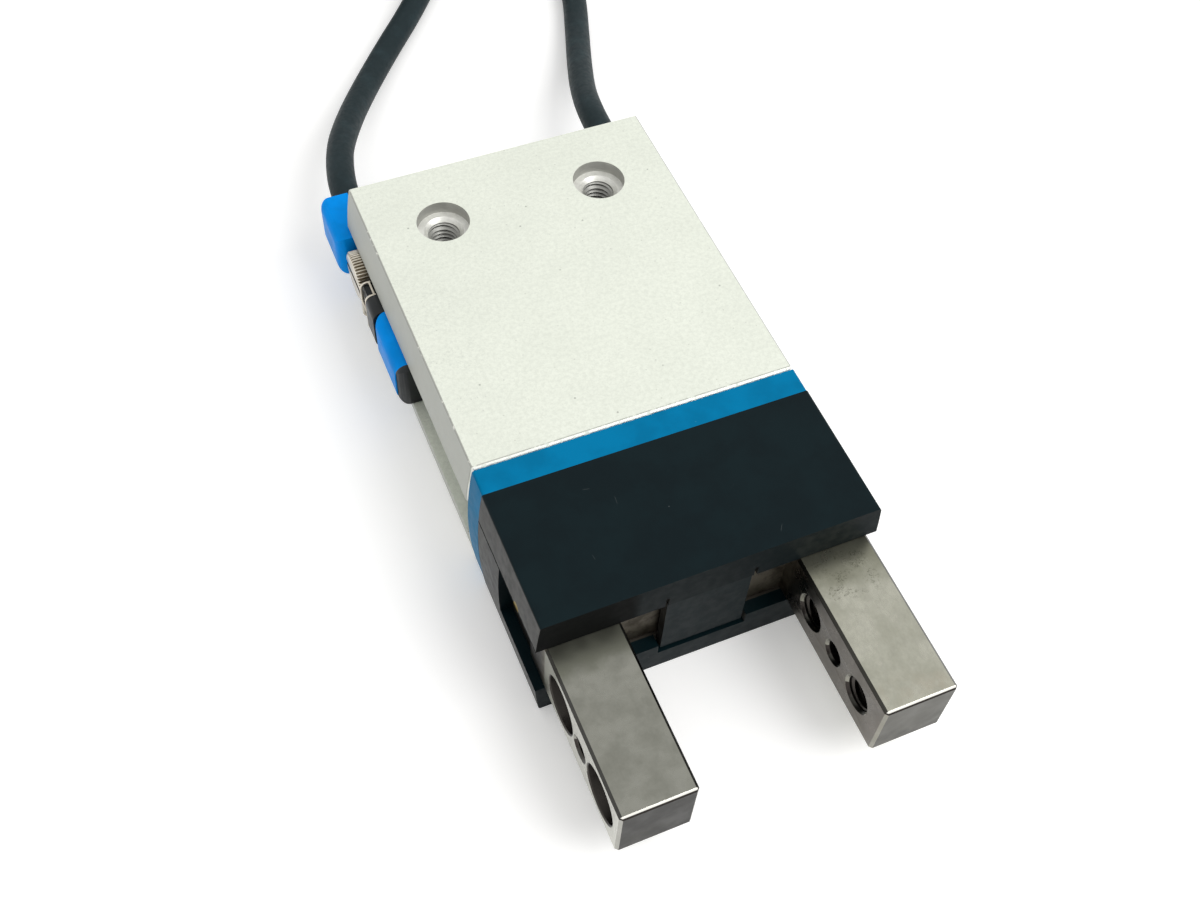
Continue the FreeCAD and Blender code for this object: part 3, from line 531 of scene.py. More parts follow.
def jaw_edges(paint, colour):
    """A jaw's colour with its broken edges: the long ones painted dark as shade, the front one with a
    painted highlight along its top over painted shade.
    """
    aside = paint.math("ABSOLUTE", paint.nx)
    forward = paint.math("MULTIPLY", paint.ny, -1.0)
    # painted shade on the long edges
    colour = paint.mix(paint.some(paint.sloping(paint.nz, aside), 0.92), colour, (0.02, 0.019, 0.018))
    # painted shade on the upright front edges
    colour = paint.mix(paint.some(paint.sloping(forward, aside), 0.6), colour, (0.15, 0.145, 0.13))
    # painted highlight along the top of the front edge, painted shade below it
    painted_highlight = paint.ramp(paint.z, JAW_TOP - 0.15, JAW_TOP - 0.11)
    front_edge = paint.mix(painted_highlight, (0.04, 0.035, 0.032), (0.95, 0.93, 0.86))
    return paint.mix(paint.sloping(paint.nz, forward), colour, front_edge)


def carriage_grease(paint):
    """Brown grease on the jaws' carriages; their outsides painted almost black."""
    streaks = paint.ramp(paint.noise(0.8, 4.0, 0.65), 0.4, 0.65)
    smear = paint.mix(streaks, (0.11, 0.098, 0.075), (0.042, 0.034, 0.023))
    outside = paint.all_of(
        paint.ramp(paint.math("ABSOLUTE", paint.x), JAW_OUTER - 0.6, JAW_OUTER - 0.3),
        paint.ramp(paint.y, HOOD_FRONT, HOOD_FRONT + 1.2),
    )
    return paint.mix(outside, smear, (0.012, 0.011, 0.009))


def jaw_steel():
    """Ground steel, handled: painted shade by the hood, dull tips with painted shade on their end faces,
    greasy brown on the carriages.
    """
    paint = Paint("jaw_steel", (0.42, 0.415, 0.375), 0.28, metallic=1.0)
    left = paint.ramp(paint.x, 1.0, -1.0)
    right = paint.ramp(paint.x, -1.0, 1.0)
    blotch = paint.noise(0.45, 4.0, 0.6)
    smudged = paint.math("ADD", paint.y, paint.some(blotch, 3.0))
    # painted shade by the hood, with a blotchy edge
    hood_shade_left = paint.all_of(left, paint.ramp(smudged, HOOD_FRONT - 2.0, HOOD_FRONT - 0.2))
    hood_shade_right = paint.all_of(right, paint.ramp(smudged, HOOD_FRONT - 3.4, HOOD_FRONT - 0.4))
    colour = ground_faces(paint, right, hood_shade_left, hood_shade_right)
    end_face = paint.ramp(paint.ny, -0.80, -0.95)
    # painted shade on the end faces
    colour = paint.mix(end_face, colour, shaded_ends(paint, right, blotch))
    colour = jaw_edges(paint, colour)
    # painted shade inside the finger holes
    colour = paint.mix(finger_holes(paint), colour, (0.055, 0.05, 0.045))
    greasy = paint.ramp(paint.y, HOOD_FRONT - 0.15, HOOD_FRONT + 0.25)
    paint.feed("Base Color", paint.mix(greasy, colour, carriage_grease(paint)))
    smooth = paint.ramp(paint.noise(0.5, 3.0), 0.3, 0.7, 0.25, 0.34)
    dull = paint.any_of(paint.some(end_face, 0.18), paint.some(hood_shade_left, 0.10), paint.some(greasy, 0.15))
    paint.feed("Roughness", paint.math("ADD", smooth, dull))
    paint.bump(paint.noise(4.0, 3.0, 0.7, (1.0, 0.35, 1.0)), 0.004, 0.15)
    return paint.material


def plastic(name, colour, roughness, specular, dust=(0.16, 0.18, 0.18)):
    """Moulded plastic with a fine grain and a few specks of dust."""
    paint = Paint(name, colour, roughness, specular=specular)
    shade = [channel * 0.84 for channel in colour]
    mottled = paint.mix(paint.ramp(paint.noise(0.3, 3.0), 0.35, 0.65), colour, shade)
    paint.feed("Base Color", paint.mix(paint.some(paint.specks(0.9, 0.07, 0.05), 0.55), mottled, dust))
    paint.feed("Roughness", paint.ramp(paint.noise(1.1, 3.0), 0.3, 0.7, roughness - 0.05, roughness + 0.05))
    paint.bump(paint.noise(8.0, 2.0, 0.6), 0.008, 0.25)
    return paint.material


def cap_plastic():
    """The hood's black plastic: dust and painted sheen on the sides, a dirty parting line, painted shade
    along the sides' bottom, a dull front darkened as painted shade, hairs and dust.
    """
    paint = Paint("cap_black", (0.0015, 0.0085, 0.0110), 0.38, specular=0.11)
    shade = paint.ramp(paint.noise(0.25, 4.0, 0.6), 0.35, 0.65)
    colour = paint.mix(shade, (0.0017, 0.0090, 0.0115), (0.0010, 0.0066, 0.0088))
    side = paint.ramp(paint.math("ABSOLUTE", paint.nx), 0.75, 0.90)
    dust = paint.ramp(paint.noise(0.9, 4.0, 0.65), 0.35, 0.70)
    # dust and painted sheen on the sides
    dust_and_sheen = paint.mix(dust, (0.040, 0.040, 0.037), (0.022, 0.023, 0.022))
    colour = paint.mix(side, colour, dust_and_sheen)
    frayed = paint.math("ADD", paint.z, paint.ramp(paint.noise(2.5, 2.0), 0.3, 0.7, -0.05, 0.05))
    parting = paint.all_of(side, paint.within(frayed, PARTING_Z - 0.10, PARTING_Z + 0.14, 0.04))
    colour = paint.mix(parting, colour, (0.0, 0.0, 0.0))
    # painted shade along the bottom of the sides
    low_rim = paint.all_of(side, paint.ramp(frayed, 0.55, 0.40))
    colour = paint.mix(low_rim, colour, (0.0, 0.0, 0.001))
    # painted shade: the front darker, most of all above the left jaw
    front = paint.ramp(paint.ny, -0.80, -0.95)
    hood = paint.all_of(front, paint.ramp(paint.z, PARTING_Z - 0.05, PARTING_Z + 0.05))
    left_front_shade = paint.all_of(hood, paint.ramp(paint.x, -5.0, -7.5))
    dull = paint.any_of(paint.some(front, 0.35), paint.some(hood, 0.55), left_front_shade, parting, low_rim)
    colour = paint.mix(dull, colour, (0.0008, 0.0012, 0.0010))
    flecks = paint.any_of(paint.specks(0.8, 0.07, 0.07), paint.some(paint.specks(0.3, 0.16, 0.07), 0.6))
    marks = paint.any_of(flecks, paint.some(paint.hairs(0.16, 0.02, 0.04), 0.5))
    colour = paint.mix(paint.some(marks, 0.45), colour, (0.16, 0.18, 0.18))
    away = paint.off_axis((paint.y, GREASE_AT[0]), (frayed, GREASE_AT[1]))
    grease = paint.all_of(
        paint.ramp(away, GREASE_R + GREASE_SOFT, GREASE_R - GREASE_SOFT),
        paint.ramp(paint.x, -13.0, -13.6),
    )
    paint.feed("Base Color", paint.mix(grease, colour, (0.20, 0.14, 0.025)))
    satin = paint.ramp(paint.noise(1.1, 3.0), 0.3, 0.7, 0.34, 0.43)
    paint.feed("Roughness", paint.math("ADD", satin, paint.some(dull, 0.45)))
    paint.bump(paint.noise(8.0, 2.0, 0.6), 0.008, 0.25)
    return paint.material


def nickel():
    """Nickel plating: painted shade between the screws' teeth, the inner ends of the clips painted black.
    """
    paint = Paint("nickel", (0.60, 0.56, 0.49), 0.34, metallic=1.0)
    cloud = paint.ramp(paint.noise(0.9, 3.0), 0.3, 0.7)
    colour = paint.mix(cloud, (0.68, 0.64, 0.555), (0.55, 0.505, 0.425))
    _, y, z = middle_of("sensor_left_clamp_screw")
    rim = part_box("sensor_left_clamp_screw")[1][2] / MM - z
    # painted shade between the knurl's teeth
    between = paint.all_of(
        paint.ramp(paint.off_axis((paint.y, y), (paint.z, z)), rim - 0.05, rim - 0.11),
        paint.ramp(paint.math("ABSOLUTE", paint.nx), 0.6, 0.4),
    )
    near = paint.within(paint.y, y - rim, y + rim, 0.1)
    colour = paint.mix(paint.all_of(between, near), colour, (0.19, 0.155, 0.105))
    clipped = paint.within(paint.y, CLIP_FRONT, CLIP_REAR, 0.05)
    # the clips' inner ends painted black
    inner_black = paint.ramp(paint.math("ABSOLUTE", paint.x), CLIP_BARE_X, CLIP_BARE_X - 0.05)
    paint.feed("Base Color", paint.mix(paint.all_of(clipped, inner_black), colour, (0.008, 0.009, 0.009)))
    paint.feed("Roughness", paint.ramp(paint.noise(2.5, 3.0), 0.3, 0.7, 0.28, 0.42))
    paint.bump(paint.noise(6.0, 2.0), 0.004, 0.3)
    return paint.material


def rubber(name, colour, roughness):
    """A matte jacket with rubbed, paler patches."""
    paint = Paint(name, colour, roughness, specular=0.12)
    pale = [channel * 1.5 for channel in colour]
    rubbed = paint.ramp(paint.noise(0.4, 4.0, 0.6), 0.48, 0.75)
    mottled = paint.mix(rubbed, colour, pale)
    dust = paint.some(paint.specks(1.1, 0.09, 0.06), 0.4)
    paint.feed("Base Color", paint.mix(dust, mottled, (0.2, 0.21, 0.2)))
    paint.feed("Roughness", paint.ramp(paint.noise(2.0, 2.0), 0.3, 0.7, roughness - 0.05, roughness + 0.07))
    paint.bump(paint.noise(6.0, 3.0, 0.6), 0.010, 0.30)
    return paint.material


FINISHES = {
    "housing_aluminium": housing_aluminium(),
    "trim_blue": plastic("trim_blue", (0.0, 0.175, 0.365), 0.40, 0.04, (0.04, 0.26, 0.42)),
    "cap_black": cap_plastic(),
    "jaw_steel": jaw_steel(),
    "gear_steel": turned_metal("gear_steel", (0.45, 0.45, 0.44), 0.28),
    "spring_steel": turned_metal("spring_steel", (0.36, 0.36, 0.35), 0.30),
    "piston_aluminium": turned_metal("piston_aluminium", (0.70, 0.70, 0.69), 0.32),
    "bush_bronze": turned_metal("bush_bronze", (0.52, 0.34, 0.15), 0.40),
    "seal_rubber": rubber("seal_rubber", (0.018, 0.018, 0.018), 0.55),
    "magnet_grey": turned_metal("magnet_grey", (0.14, 0.14, 0.14), 0.45),
    "sensor_black": plastic("sensor_black", (0.008, 0.011, 0.012), 0.36, 0.30),
    "sensor_blue": plastic("sensor_blue", (0.0, 0.30, 0.90), 0.36, 0.04, (0.05, 0.40, 0.92)),
    "clip_nickel": nickel(),
    "cable_black": rubber("cable_black", (0.013, 0.023, 0.026), 0.52),
    "contact_brass": turned_metal("contact_brass", (0.72, 0.52, 0.22), 0.25),
}


def paint_nodes():
    """Gives every CAD node the finish of its material slot."""
    for part in frame["record"]["subparts"]:
        node = frame["nodes"][part["node"]]
        node.data.materials.clear()
        node.data.materials.append(FINISHES[part["material_slot"]])


def soften(name, width):
    """Breaks a CAD node's sharp edges by a width in millimetres."""
    node = frame["nodes"][name]
    weld = node.modifiers.new("weld", "WELD")
    weld.merge_threshold = WELD_REACH * MM
    bevel = node.modifiers.new("edges", "BEVEL")
    bevel.width = width * MM
    bevel.segments = 2
    bevel.limit_method = "ANGLE"
    bevel.angle_limit = math.radians(EDGE_ANGLE)
    node.modifiers.new("normals", "WEIGHTED_NORMAL")


def soften_nodes():
    """Breaks the edges of the CAD nodes that are seen."""
    for name, width in EDGES.items():
        soften(name, width)
    for side, _ in SIDES:
        for pattern, width in SIDE_EDGES.items():
            soften(pattern.format(side), width)


def add_piece(name, shape, body, slot, smooth=40.0):
    """Turns a bmesh into a piece that rides on a body."""
    mesh = bpy.data.meshes.new(name)
    bmesh.ops.recalc_face_normals(shape, faces=shape.faces)
    shape.to_mesh(mesh)
    shape.free()
    for face in mesh.polygons:
        face.use_smooth = True
    mesh.set_sharp_from_angle(angle=math.radians(smooth))
    mesh.materials.append(FINISHES[slot])
    piece = bpy.data.objects.new(name, mesh)
    bpy.context.scene.collection.objects.link(piece)
    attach(piece, body)
    return piece


def skin(rows, closed=False):
    """A bmesh from closed rows of points in millimetres: a ring, or a tube with closed ends."""
    shape = bmesh.new()
    rings = [[shape.verts.new(Vector(point) * MM) for point in row] for row in rows]
    count = len(rings[0])
    pairs = list(zip(rings, rings[1:]))
    if closed:
        pairs.append((rings[-1], rings[0]))
    else:
        shape.faces.new(rings[0])
        shape.faces.new(rings[-1])
    for near, far in pairs:
        for k in range(count):
            shape.faces.new((near[k], near[(k + 1) % count], far[(k + 1) % count], far[k]))
    return shape


def cross_axes(direction):
    """A unit vector along a direction, and two across it."""
    towards = Vector(direction).normalized()
    across = towards.orthogonal().normalized()
    return towards, across, towards.cross(across)


def turned(origin, direction, profile, teeth, closed=False):
    """A bmesh turned from (radius, distance along, notch depth) rows, with notches between its teeth."""
    towards, across, along = cross_axes(direction)
    count = 4 * teeth
    rows = []
    for radius, distance, notch in profile:
        row = []
        for k in range(count):
            angle = 2 * math.pi * k / count
            reach = radius - (notch if k % 4 < 2 else 0.0)
            spoke = across * math.cos(angle) + along * math.sin(angle)
            row.append(Vector(origin) + towards * distance + spoke * reach)
        rows.append(row)
    return skin(rows, closed)


def thread(name, start, direction, length, radius, body, slot):
    """A helical ridge on the wall of a hole, from start along direction, in millimetres."""
    towards, across, along = cross_axes(direction)
    profile = (
        (THREAD_ROOT, -THREAD_BASE), (-THREAD_DEPTH, -THREAD_CREST),
        (-THREAD_DEPTH, THREAD_CREST), (THREAD_ROOT, THREAD_BASE),
    )
    steps = int(length / THREAD_PITCH * THREAD_STEPS)
    rows = []
    for k in range(steps + 1):
        angle = 2 * math.pi * k / THREAD_STEPS
        spoke = across * math.cos(angle) + along * math.sin(angle)
        depth = start + towards * (THREAD_PITCH * k / THREAD_STEPS)
        fade = min(1.0, (k + 1) / THREAD_STEPS, (steps - k + 1) / THREAD_STEPS)
        row = []
        for out, up in profile:
            reach = radius + (out if out > 0 else out * fade)
            row.append(depth + spoke * reach + towards * (up * fade * THREAD_PITCH))
        rows.append(row)
    return add_piece(name, skin(rows), body, slot)


def pattern_threads(mount_name, label, length, body, slot, sink=0.0):
    """Threads in both holes of a mount, from sink millimetres inside its face."""
    mount = MOUNTS[mount_name]
    places, inward = hole_places(mount)
    for k, place in enumerate(places):
        start = place + inward * sink
        thread(f"{label}_{k + 1}", start, inward, length, mount["dims"]["hole_r_mm"], body, slot)


def threads():
    """The threads in the housing, the jaws and the air ports."""
    through = MOUNTS["top_screws"]["pos_m"][2] - MOUNTS["bottom_screws"]["pos_m"][2]
    pattern_threads("top_screws", "mount_thread", through / MM, "housing", "housing_aluminium")
    pattern_threads("rear_screws", "rear_thread", REAR_THREAD_LENGTH, "housing", "housing_aluminium")
    for side, _ in SIDES:
        low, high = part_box(f"jaw_{side}")
        outer = max(abs(low[0]), abs(high[0])) / MM - CENTRING_DEPTH
        inner = abs(MOUNTS[f"finger_screws_{side}"]["pos_m"][0]) / MM + FINGER_SINK
        pattern_threads(
            f"finger_screws_{side}", f"jaw_{side}_thread", outer - inner, f"jaw_{side}", "jaw_steel",
            FINGER_SINK,
        )
    for name in ("opening_air_port", "closing_air_port"):
        x, y, _ = [value / MM for value in MOUNTS[name]["pos_m"]]
        start = Vector((x, y, PORT_START))
        radius = MOUNTS[name]["dims"]["r_mm"]
        thread(f"{name}_thread", start, (0, 0, 1), PORT_LENGTH, radius, "housing", "housing_aluminium")


def loose_object(shape):
    """A bmesh as an object, for the time of a cut."""
    mesh = bpy.data.meshes.new("loose")
    bmesh.ops.recalc_face_normals(shape, faces=shape.faces)
    shape.to_mesh(mesh)
    shape.free()
    loose = bpy.data.objects.new("loose", mesh)
    bpy.context.scene.collection.objects.link(loose)
    return loose


def cut_out(shape, cutter):
    """One bmesh less another."""
    base, tool = loose_object(shape), loose_object(cutter)
    cut = base.modifiers.new("cut", "BOOLEAN")
    cut.operation = "DIFFERENCE"
    cut.object = tool
    result = bmesh.new()
    result.from_object(base, bpy.context.evaluated_depsgraph_get())
    for loose in (base, tool):
        bpy.data.objects.remove(loose)
    return result


def block(low, high):
    """A bmesh box between two corners in millimetres."""
    shape = bmesh.new()
    bmesh.ops.create_cube(shape, size=MM)
    size = Vector(high) - Vector(low)
    bmesh.ops.scale(shape, vec=size, verts=shape.verts)
    bmesh.ops.translate(shape, vec=(Vector(low) + size / 2) * MM, verts=shape.verts)
    return shape


def clamp_screw(side, sign):
    """A knurled, slotted screw in place of the plain one."""
    name = f"sensor_{side}_clamp_screw"
    low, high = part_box(name)
    tip, out = sorted((abs(low[0]) / MM, abs(high[0]) / MM))
    _, y, z = middle_of(name)
    radius = (high[1] - low[1]) / 2 / MM
    seat = out - SCREW_HEAD
    profile = [
        (SCREW_SHANK_R - SCREW_TIP_BREAK, tip, 0), (SCREW_SHANK_R, tip + SCREW_TIP_BREAK, 0),
        (SCREW_SHANK_R, seat, 0), (radius - SCREW_BREAK, seat, 0),
        (radius, seat + SCREW_BREAK, SCREW_NOTCH), (radius, out - SCREW_BREAK, SCREW_NOTCH),
        (radius - SCREW_BREAK, out - SCREW_CROWN, 0), (radius - SCREW_BREAK - 2 * SCREW_CROWN, out, 0),
    ]
    head = turned((0, y, z), (sign, 0, 0), profile, SCREW_TEETH)
    half = SCREW_SLOT / 2
    x0, x1 = sorted((sign * (out - SCREW_SLOT_DEPTH), sign * (out + 1)))
    slot = block((x0, y - 2 * radius, z - half), (x1, y + 2 * radius, z + half))
    piece = add_piece(f"{name}_knurled", cut_out(head, slot), f"sensor_{side}_screw", "clip_nickel")
    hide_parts(name)


def clip(side, sign):
    """A bent sheet stirrup with windows between its bars, in place of the plain one."""
    name = f"sensor_{side}_clip"
    low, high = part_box(name)
    foot, out = sorted((abs(low[0]) / MM, abs(high[0]) / MM))
    z1 = high[2] / MM
    path = [(foot, z1), (foot + CLIP_BAR, z1), (CLIP_BARE_X, z1), (CLIP_BARE_X + CLIP_BAR, z1),
            (out - CLIP_CORNER, z1)]
    for k in range(1, CLIP_BEND_STEPS):
        angle = math.radians(90 - 90 * k / CLIP_BEND_STEPS)
        path.append((out - CLIP_CORNER * (1 - math.cos(angle)), z1 - CLIP_CORNER * (1 - math.sin(angle))))
    path += [(out, z1 - CLIP_CORNER), (out, MID_Z + CLIP_BAR / 2)]
    path += [(x, 2 * MID_Z - z) for x, z in reversed(path)]
    y0, y1 = low[1] / MM, high[1] / MM
    across = [y0, y0 + CLIP_BAR, y1 - CLIP_BAR, y1]
    shape = bmesh.new()
    grid = [[shape.verts.new(at_mm(sign * x, y, z)) for y in across] for x, z in path]
    last = len(path) - 2
    bars = (0, 2, len(path) // 2 - 1, last - 2, last)
    for row in range(last + 1):
        for column in range(len(across) - 1):
            if column == 1 and row not in bars:
                continue
            near, far = grid[row], grid[row + 1]
            shape.faces.new((near[column], near[column + 1], far[column + 1], far[column]))
    piece = add_piece(f"{name}_bent", shape, f"sensor_{side}", "clip_nickel")
    sheet = piece.modifiers.new("sheet", "SOLIDIFY")
    sheet.thickness = CLIP_SHEET * MM
    sheet.offset = -1
    edges = piece.modifiers.new("edges", "BEVEL")
    edges.width = CLIP_EDGE * MM
    edges.segments = 2
    edges.limit_method = "ANGLE"
    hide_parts(name)


def plug_frame(side):
    """Where a plug's cable ends, and the way the plug points."""
    low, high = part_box(f"plug_{side}_grip")
    x, _, z = middle_of(f"plug_{side}_grip")
    forward = PLUG_TOWARDS[side]
    end = low[1] if forward > 0 else high[1]
    return Vector((x, end / MM, z)), Vector((0, forward, 0))


def plug_grip(side):
    """A ringed boot and a fluted grip, in place of the plain one."""
    origin, forward = plug_frame(side)
    profile = [(1.6, 0.0, 0), (2.0, 0.0, 0), (BOOT_R, 0.2, 0)]
    for k in range(BOOT_RINGS):
        along = 0.9 + BOOT_PITCH * k
        radius = BOOT_R + BOOT_TAPER * along / BOOT_LENGTH
        groove = radius - BOOT_GROOVE
        profile += [
            (radius, along, 0), (groove, along + 0.15, 0), (groove, along + 0.45, 0),
            (radius, along + 0.6, 0),
        ]
    profile += [
        (BOOT_R + BOOT_TAPER, BOOT_LENGTH, 0), (GRIP_R - 0.2, 7.9, 0), (GRIP_R, 8.2, 0), (GRIP_R, 8.7, 0),
        (GRIP_R, 9.1, GRIP_FLUTE), (GRIP_R, 15.6, GRIP_FLUTE), (GRIP_R, 16.0, 0), (GRIP_R, 16.7, 0),
        (GRIP_R - 0.3, 17.0, 0),
    ]
    shape = turned(origin, forward, profile, PLUG_FLUTES)
    piece = add_piece(f"plug_{side}_grip_fluted", shape, f"sensor_{side}", "cable_black")
    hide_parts(f"plug_{side}_grip")
    return piece


def plug_nut(side):
    """A knurled ring with a threaded sleeve, in place of the plain one."""
    origin, forward = plug_frame(side)
    profile = [
        (NUT_BORE_R, NUT_REAR, 0), (NUT_COLLAR_R, NUT_REAR, 0), (NUT_R, NUT_REAR + 0.25, NUT_NOTCH),
        (NUT_R, 21.2, NUT_NOTCH), (NUT_COLLAR_R, 21.5, 0), (NUT_COLLAR_R, 22.9, 0),
        (NUT_COLLAR_R - 0.2, 23.15, 0), (3.7, 23.2, 0),
    ]
    for k in range(SLEEVE_THREADS):
        along = 23.6 + k
        profile += [
            (SLEEVE_ROOT_R, along, 0), (SLEEVE_CREST_R, along + 0.4, 0),
            (SLEEVE_CREST_R, along + 0.52, 0), (SLEEVE_ROOT_R, along + 0.92, 0),
        ]
    profile += [
        (3.6, NUT_FRONT, 0), (NUT_MOUTH_R, NUT_FRONT, 0), (NUT_MOUTH_R, NUT_FLOOR, 0),
        (NUT_BORE_R, NUT_FLOOR, 0),
    ]
    shape = turned(origin, forward, profile, PLUG_TEETH, closed=True)
    piece = add_piece(f"plug_{side}_nut_knurled", shape, f"plug_{side}_ring", "clip_nickel")
    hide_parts(f"plug_{side}_nut")
    return piece


def closing_spring():
    """A round wire coil, in place of the six-sided one."""
    low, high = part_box("closing_spring")
    front, rear = low[1] / MM, high[1] / MM
    start, length = rear - SPRING_WIRE_R, rear - front - 2 * SPRING_WIRE_R
    steps = SPRING_TURNS * SPRING_STEPS
    rows = []
    for k in range(steps + 1):
        angle = 2 * math.pi * k / SPRING_STEPS
        spoke = Vector((math.cos(angle), 0, math.sin(angle)))
        centre = Vector((0, start - length * k / steps, MID_Z)) + spoke * SPRING_R
        row = []
        for j in range(SPRING_SIDES):
            around = 2 * math.pi * j / SPRING_SIDES
            across = spoke * math.cos(around) + Vector((0, math.sin(around), 0))
            row.append(centre + across * SPRING_WIRE_R)
        rows.append(row)
    piece = add_piece("closing_spring_wire", skin(rows), "housing", "spring_steel")
    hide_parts("closing_spring")
    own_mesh(piece)


def coil_points(centre, radius, enters, turns):
    """A coil's turns, each resting on the one before, as (x, distance behind, z) points."""
    points = []
    count = round(turns * COIL_STEPS)
    for k in range(count + 1):
        turned_by = 360 * turns * k / count
        angle = math.radians(enters + turned_by)
        layer, within = divmod(turned_by, 360)
        share = min(1.0, max(0.0, (within - RAMP_START) / (RAMP_END - RAMP_START)))
        height = layer + share * share * (3 - 2 * share)
        points.append((
            centre[0] + radius * math.cos(angle), centre[1] + radius * math.sin(angle),
            COIL_Z + LAYER * height,
        ))
    return points


def coil_tie(side, coil):
    """A narrow strap with a lock, round the two layers of a coil."""
    angle = math.radians(TIE_AT[side])
    outward = Vector((math.cos(angle), math.sin(angle), 0))
    sideways = Vector((-math.sin(angle), math.cos(angle), 0))
    x, behind = coil["centre"]
    middle = Vector((x, behind + REAR_Y, 0)) + outward * coil["radius"]
    inner = CABLE_D / 2 + TIE_GAP
    rows = []
    for k in range(TIE_STEPS):
        around = 2 * math.pi * (k + 0.5) / TIE_STEPS
        z = COIL_Z + (LAYER if math.sin(around) > 0 else 0.0)
        spoke = outward * math.cos(around) + Vector((0, 0, math.sin(around)))
        centre = middle + Vector((0, 0, z))
        row = []
        for reach, aside in ((0, -1), (TIE_THICK, -1), (TIE_THICK, 1), (0, 1)):
            row.append(centre + spoke * (inner + reach) + sideways * (aside * TIE_WIDE / 2))
        rows.append(row)
    add_piece(f"coil_tie_{side}", skin(rows, closed=True), f"sensor_{side}", "sensor_black")
    top = COIL_Z + LAYER + inner
    wide, deep = LOCK_HALF
    lock = block((-wide, -deep, top - LOCK_SINK), (wide, deep, top + LOCK_RISE))
    bmesh.ops.bevel(lock, geom=lock.edges[:], offset=LOCK_BREAK * MM, segments=2, affect="EDGES")
    turn = Matrix.Rotation(angle, 4, "Z")
    bmesh.ops.transform(lock, matrix=Matrix.Translation(middle * MM) @ turn, verts=lock.verts)
    add_piece(f"coil_tie_lock_{side}", lock, f"sensor_{side}", "sensor_black")


def cable(side, points):
    """A cable on one smooth spline."""
    curve = bpy.data.curves.new(f"cable_{side}_jacket", "CURVE")
    curve.dimensions = "3D"
    curve.bevel_depth = CABLE_D / 2 * MM
    curve.bevel_resolution = 6
    curve.resolution_u = 6
    curve.use_fill_caps = True
    curve.materials.append(FINISHES["cable_black"])
    spline = curve.splines.new("NURBS")
    spline.points.add(len(points) - 1)
    for point, (x, behind, z) in zip(spline.points, points):
        point.co = (*at_mm(x, behind + REAR_Y, z), 1)
    spline.order_u = 3
    spline.use_endpoint_u = True
    piece = bpy.data.objects.new(curve.name, curve)
    bpy.context.scene.collection.objects.link(piece)
    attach(piece, f"sensor_{side}")
    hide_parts(f"cable_{side}", f"cable_{side}_coil", f"cable_{side}_tail")
    x, behind, z = points[0]


def cables():
    """Both cables with their coils, ties and plugs."""
    routes = {
        "left": (LEFT_ROUTE, LEFT_COIL, LEFT_TAIL),
        "right": (RIGHT_ROUTE, RIGHT_COIL, RIGHT_TAIL),
    }
    for side, _ in SIDES:
        route, coil, tail = routes[side]
        plug = [plug_grip(side), plug_nut(side)]
        plug += [frame["nodes"][f"plug_{side}_{part}"] for part in ("core", "pins")]
        cable(side, route + coil_points(**coil) + tail)
        coil_tie(side, coil)


def make_camera():
    """The photograph's camera."""
    data = bpy.data.cameras.new("camera")
    data.lens = CAMERA_LENS
    data.sensor_width = SENSOR_WIDTH
    data.clip_start = 0.001
    camera = bpy.data.objects.new("camera", data)
    ahead = CAMERA_RIGHT.cross(-CAMERA_DOWN)
    axes = Matrix((CAMERA_RIGHT, -CAMERA_DOWN, ahead)).transposed()
    camera.matrix_world = Matrix.Translation(CAMERA_AT * MM) @ axes.to_4x4()
    bpy.context.scene.collection.objects.link(camera)
    bpy.context.scene.camera = camera


def seen_directly(tree):
    """1 for rays from the camera and for those that gloss or glass send on."""
    path = tree.nodes.new("ShaderNodeLightPath")
    result = path.outputs["Is Camera Ray"]
    for name in ("Is Glossy Ray", "Is Transmission Ray"):
        node = tree.nodes.new("ShaderNodeMath")
        node.operation = "MAXIMUM"
        tree.links.new(result, node.inputs[0])
        tree.links.new(path.outputs[name], node.inputs[1])
        result = node.outputs[0]
    return result


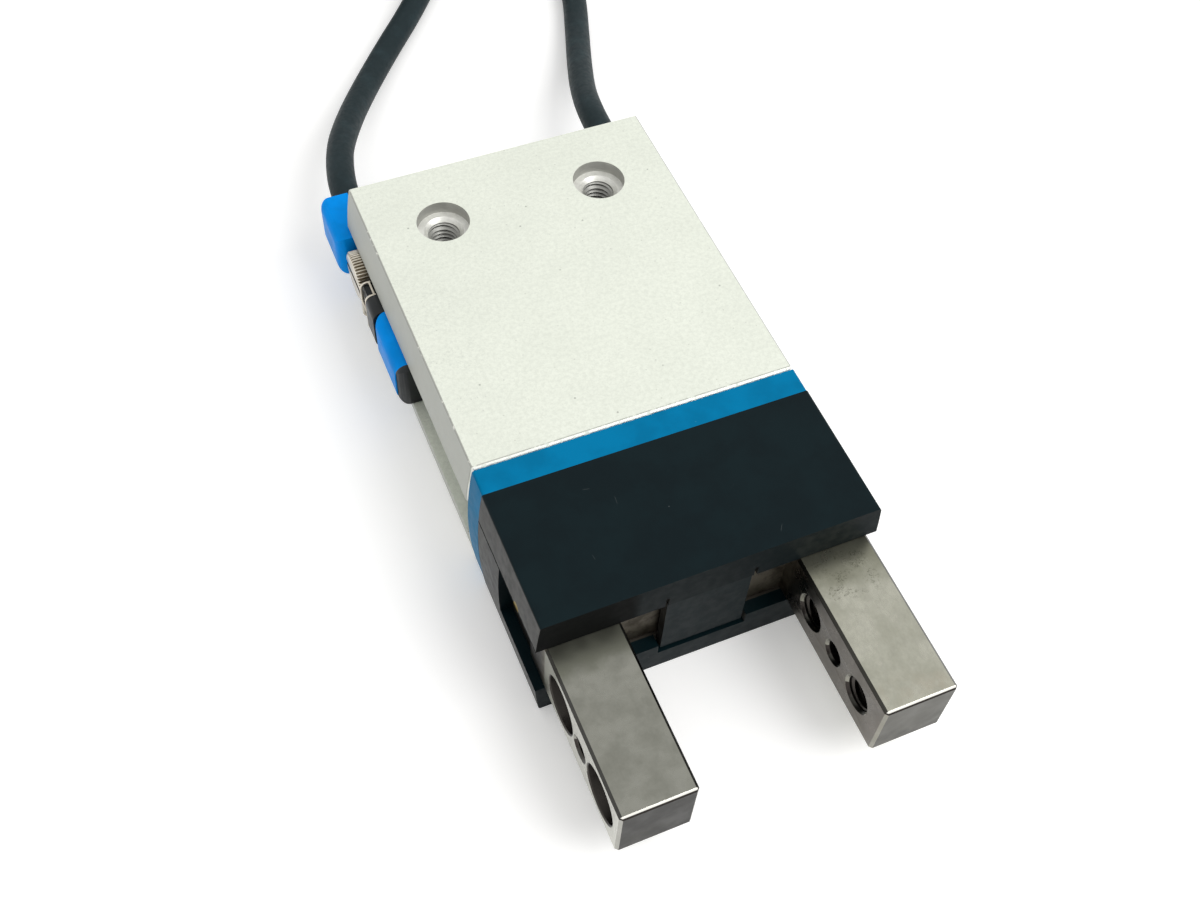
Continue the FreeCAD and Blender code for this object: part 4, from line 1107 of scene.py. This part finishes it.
def make_floor():
    """A white table, lifted a little for the eye so that its shadows stay light."""
    paint = Paint("floor", (0.84, 0.835, 0.825), 0.7, specular=0.1)
    fibres = paint.any_of(paint.hairs(0.12, 0.012, 0.05), paint.specks(0.35, 0.10, 0.10))
    paper = paint.mix(paint.noise(0.08, 3.0), (0.85, 0.845, 0.835), (0.83, 0.825, 0.815))
    seen = seen_directly(paint.tree)
    paper = paint.mix(seen, paper, (0.97, 0.965, 0.955))
    paint.feed("Base Color", paint.mix(paint.some(fibres, 0.25), paper, (0.35, 0.33, 0.30)))
    paint.feed("Emission Color", (1, 1, 1, 1))
    paint.feed("Emission Strength", paint.some(seen, FLOOR_LIFT))
    shape = bmesh.new()
    bmesh.ops.create_grid(shape, x_segments=1, y_segments=1, size=FLOOR_HALF)
    mesh = bpy.data.meshes.new("floor")
    shape.to_mesh(mesh)
    shape.free()
    mesh.materials.append(paint.material)
    floor = bpy.data.objects.new("floor", mesh)
    floor.location.z = -FLOOR_DROP
    bpy.context.scene.collection.objects.link(floor)


def make_light():
    """A pale room, brighter above and white where it is seen, and a soft lamp."""
    world = bpy.data.worlds.new("studio")
    world.use_nodes = True
    tree = world.node_tree
    direction = tree.nodes.new("ShaderNodeSeparateXYZ")
    tree.links.new(tree.nodes.new("ShaderNodeTexCoord").outputs["Generated"], direction.inputs[0])
    room = tree.nodes.new("ShaderNodeMapRange")
    room.interpolation_type = "SMOOTHSTEP"
    tree.links.new(direction.outputs["Z"], room.inputs["Value"])
    for key, number in zip(("From Min", "From Max", "To Min", "To Max"), ROOM_Z + ROOM_STRENGTH):
        room.inputs[key].default_value = number
    strength = tree.nodes.new("ShaderNodeMath")
    strength.operation = "MAXIMUM"
    tree.links.new(room.outputs[0], strength.inputs[0])
    tree.links.new(seen_directly(tree), strength.inputs[1])
    background = tree.nodes["Background"]
    background.inputs["Color"].default_value = (1, 1, 1, 1)
    tree.links.new(strength.outputs[0], background.inputs["Strength"])
    bpy.context.scene.world = world
    lamp("key", KEY_AT, KEY_SIZE, KEY_WATTS)


def lamp(name, place, size, watts):
    """A round area lamp that faces the origin."""
    data = bpy.data.lights.new(name, "AREA")
    data.shape = "DISK"
    data.size = size
    data.energy = watts
    light = bpy.data.objects.new(name, data)
    light.location = place
    light.rotation_euler = (-Vector(place)).to_track_quat("-Z", "Y").to_euler()
    bpy.context.scene.collection.objects.link(light)


make_camera()
make_floor()
make_light()
paint_nodes()
soften_nodes()
cables()
threads()
closing_spring()
for side_name, side_sign in SIDES:
    clamp_screw(side_name, side_sign)
    clip(side_name, side_sign)

bpy.context.scene.view_settings.view_transform = "Standard"
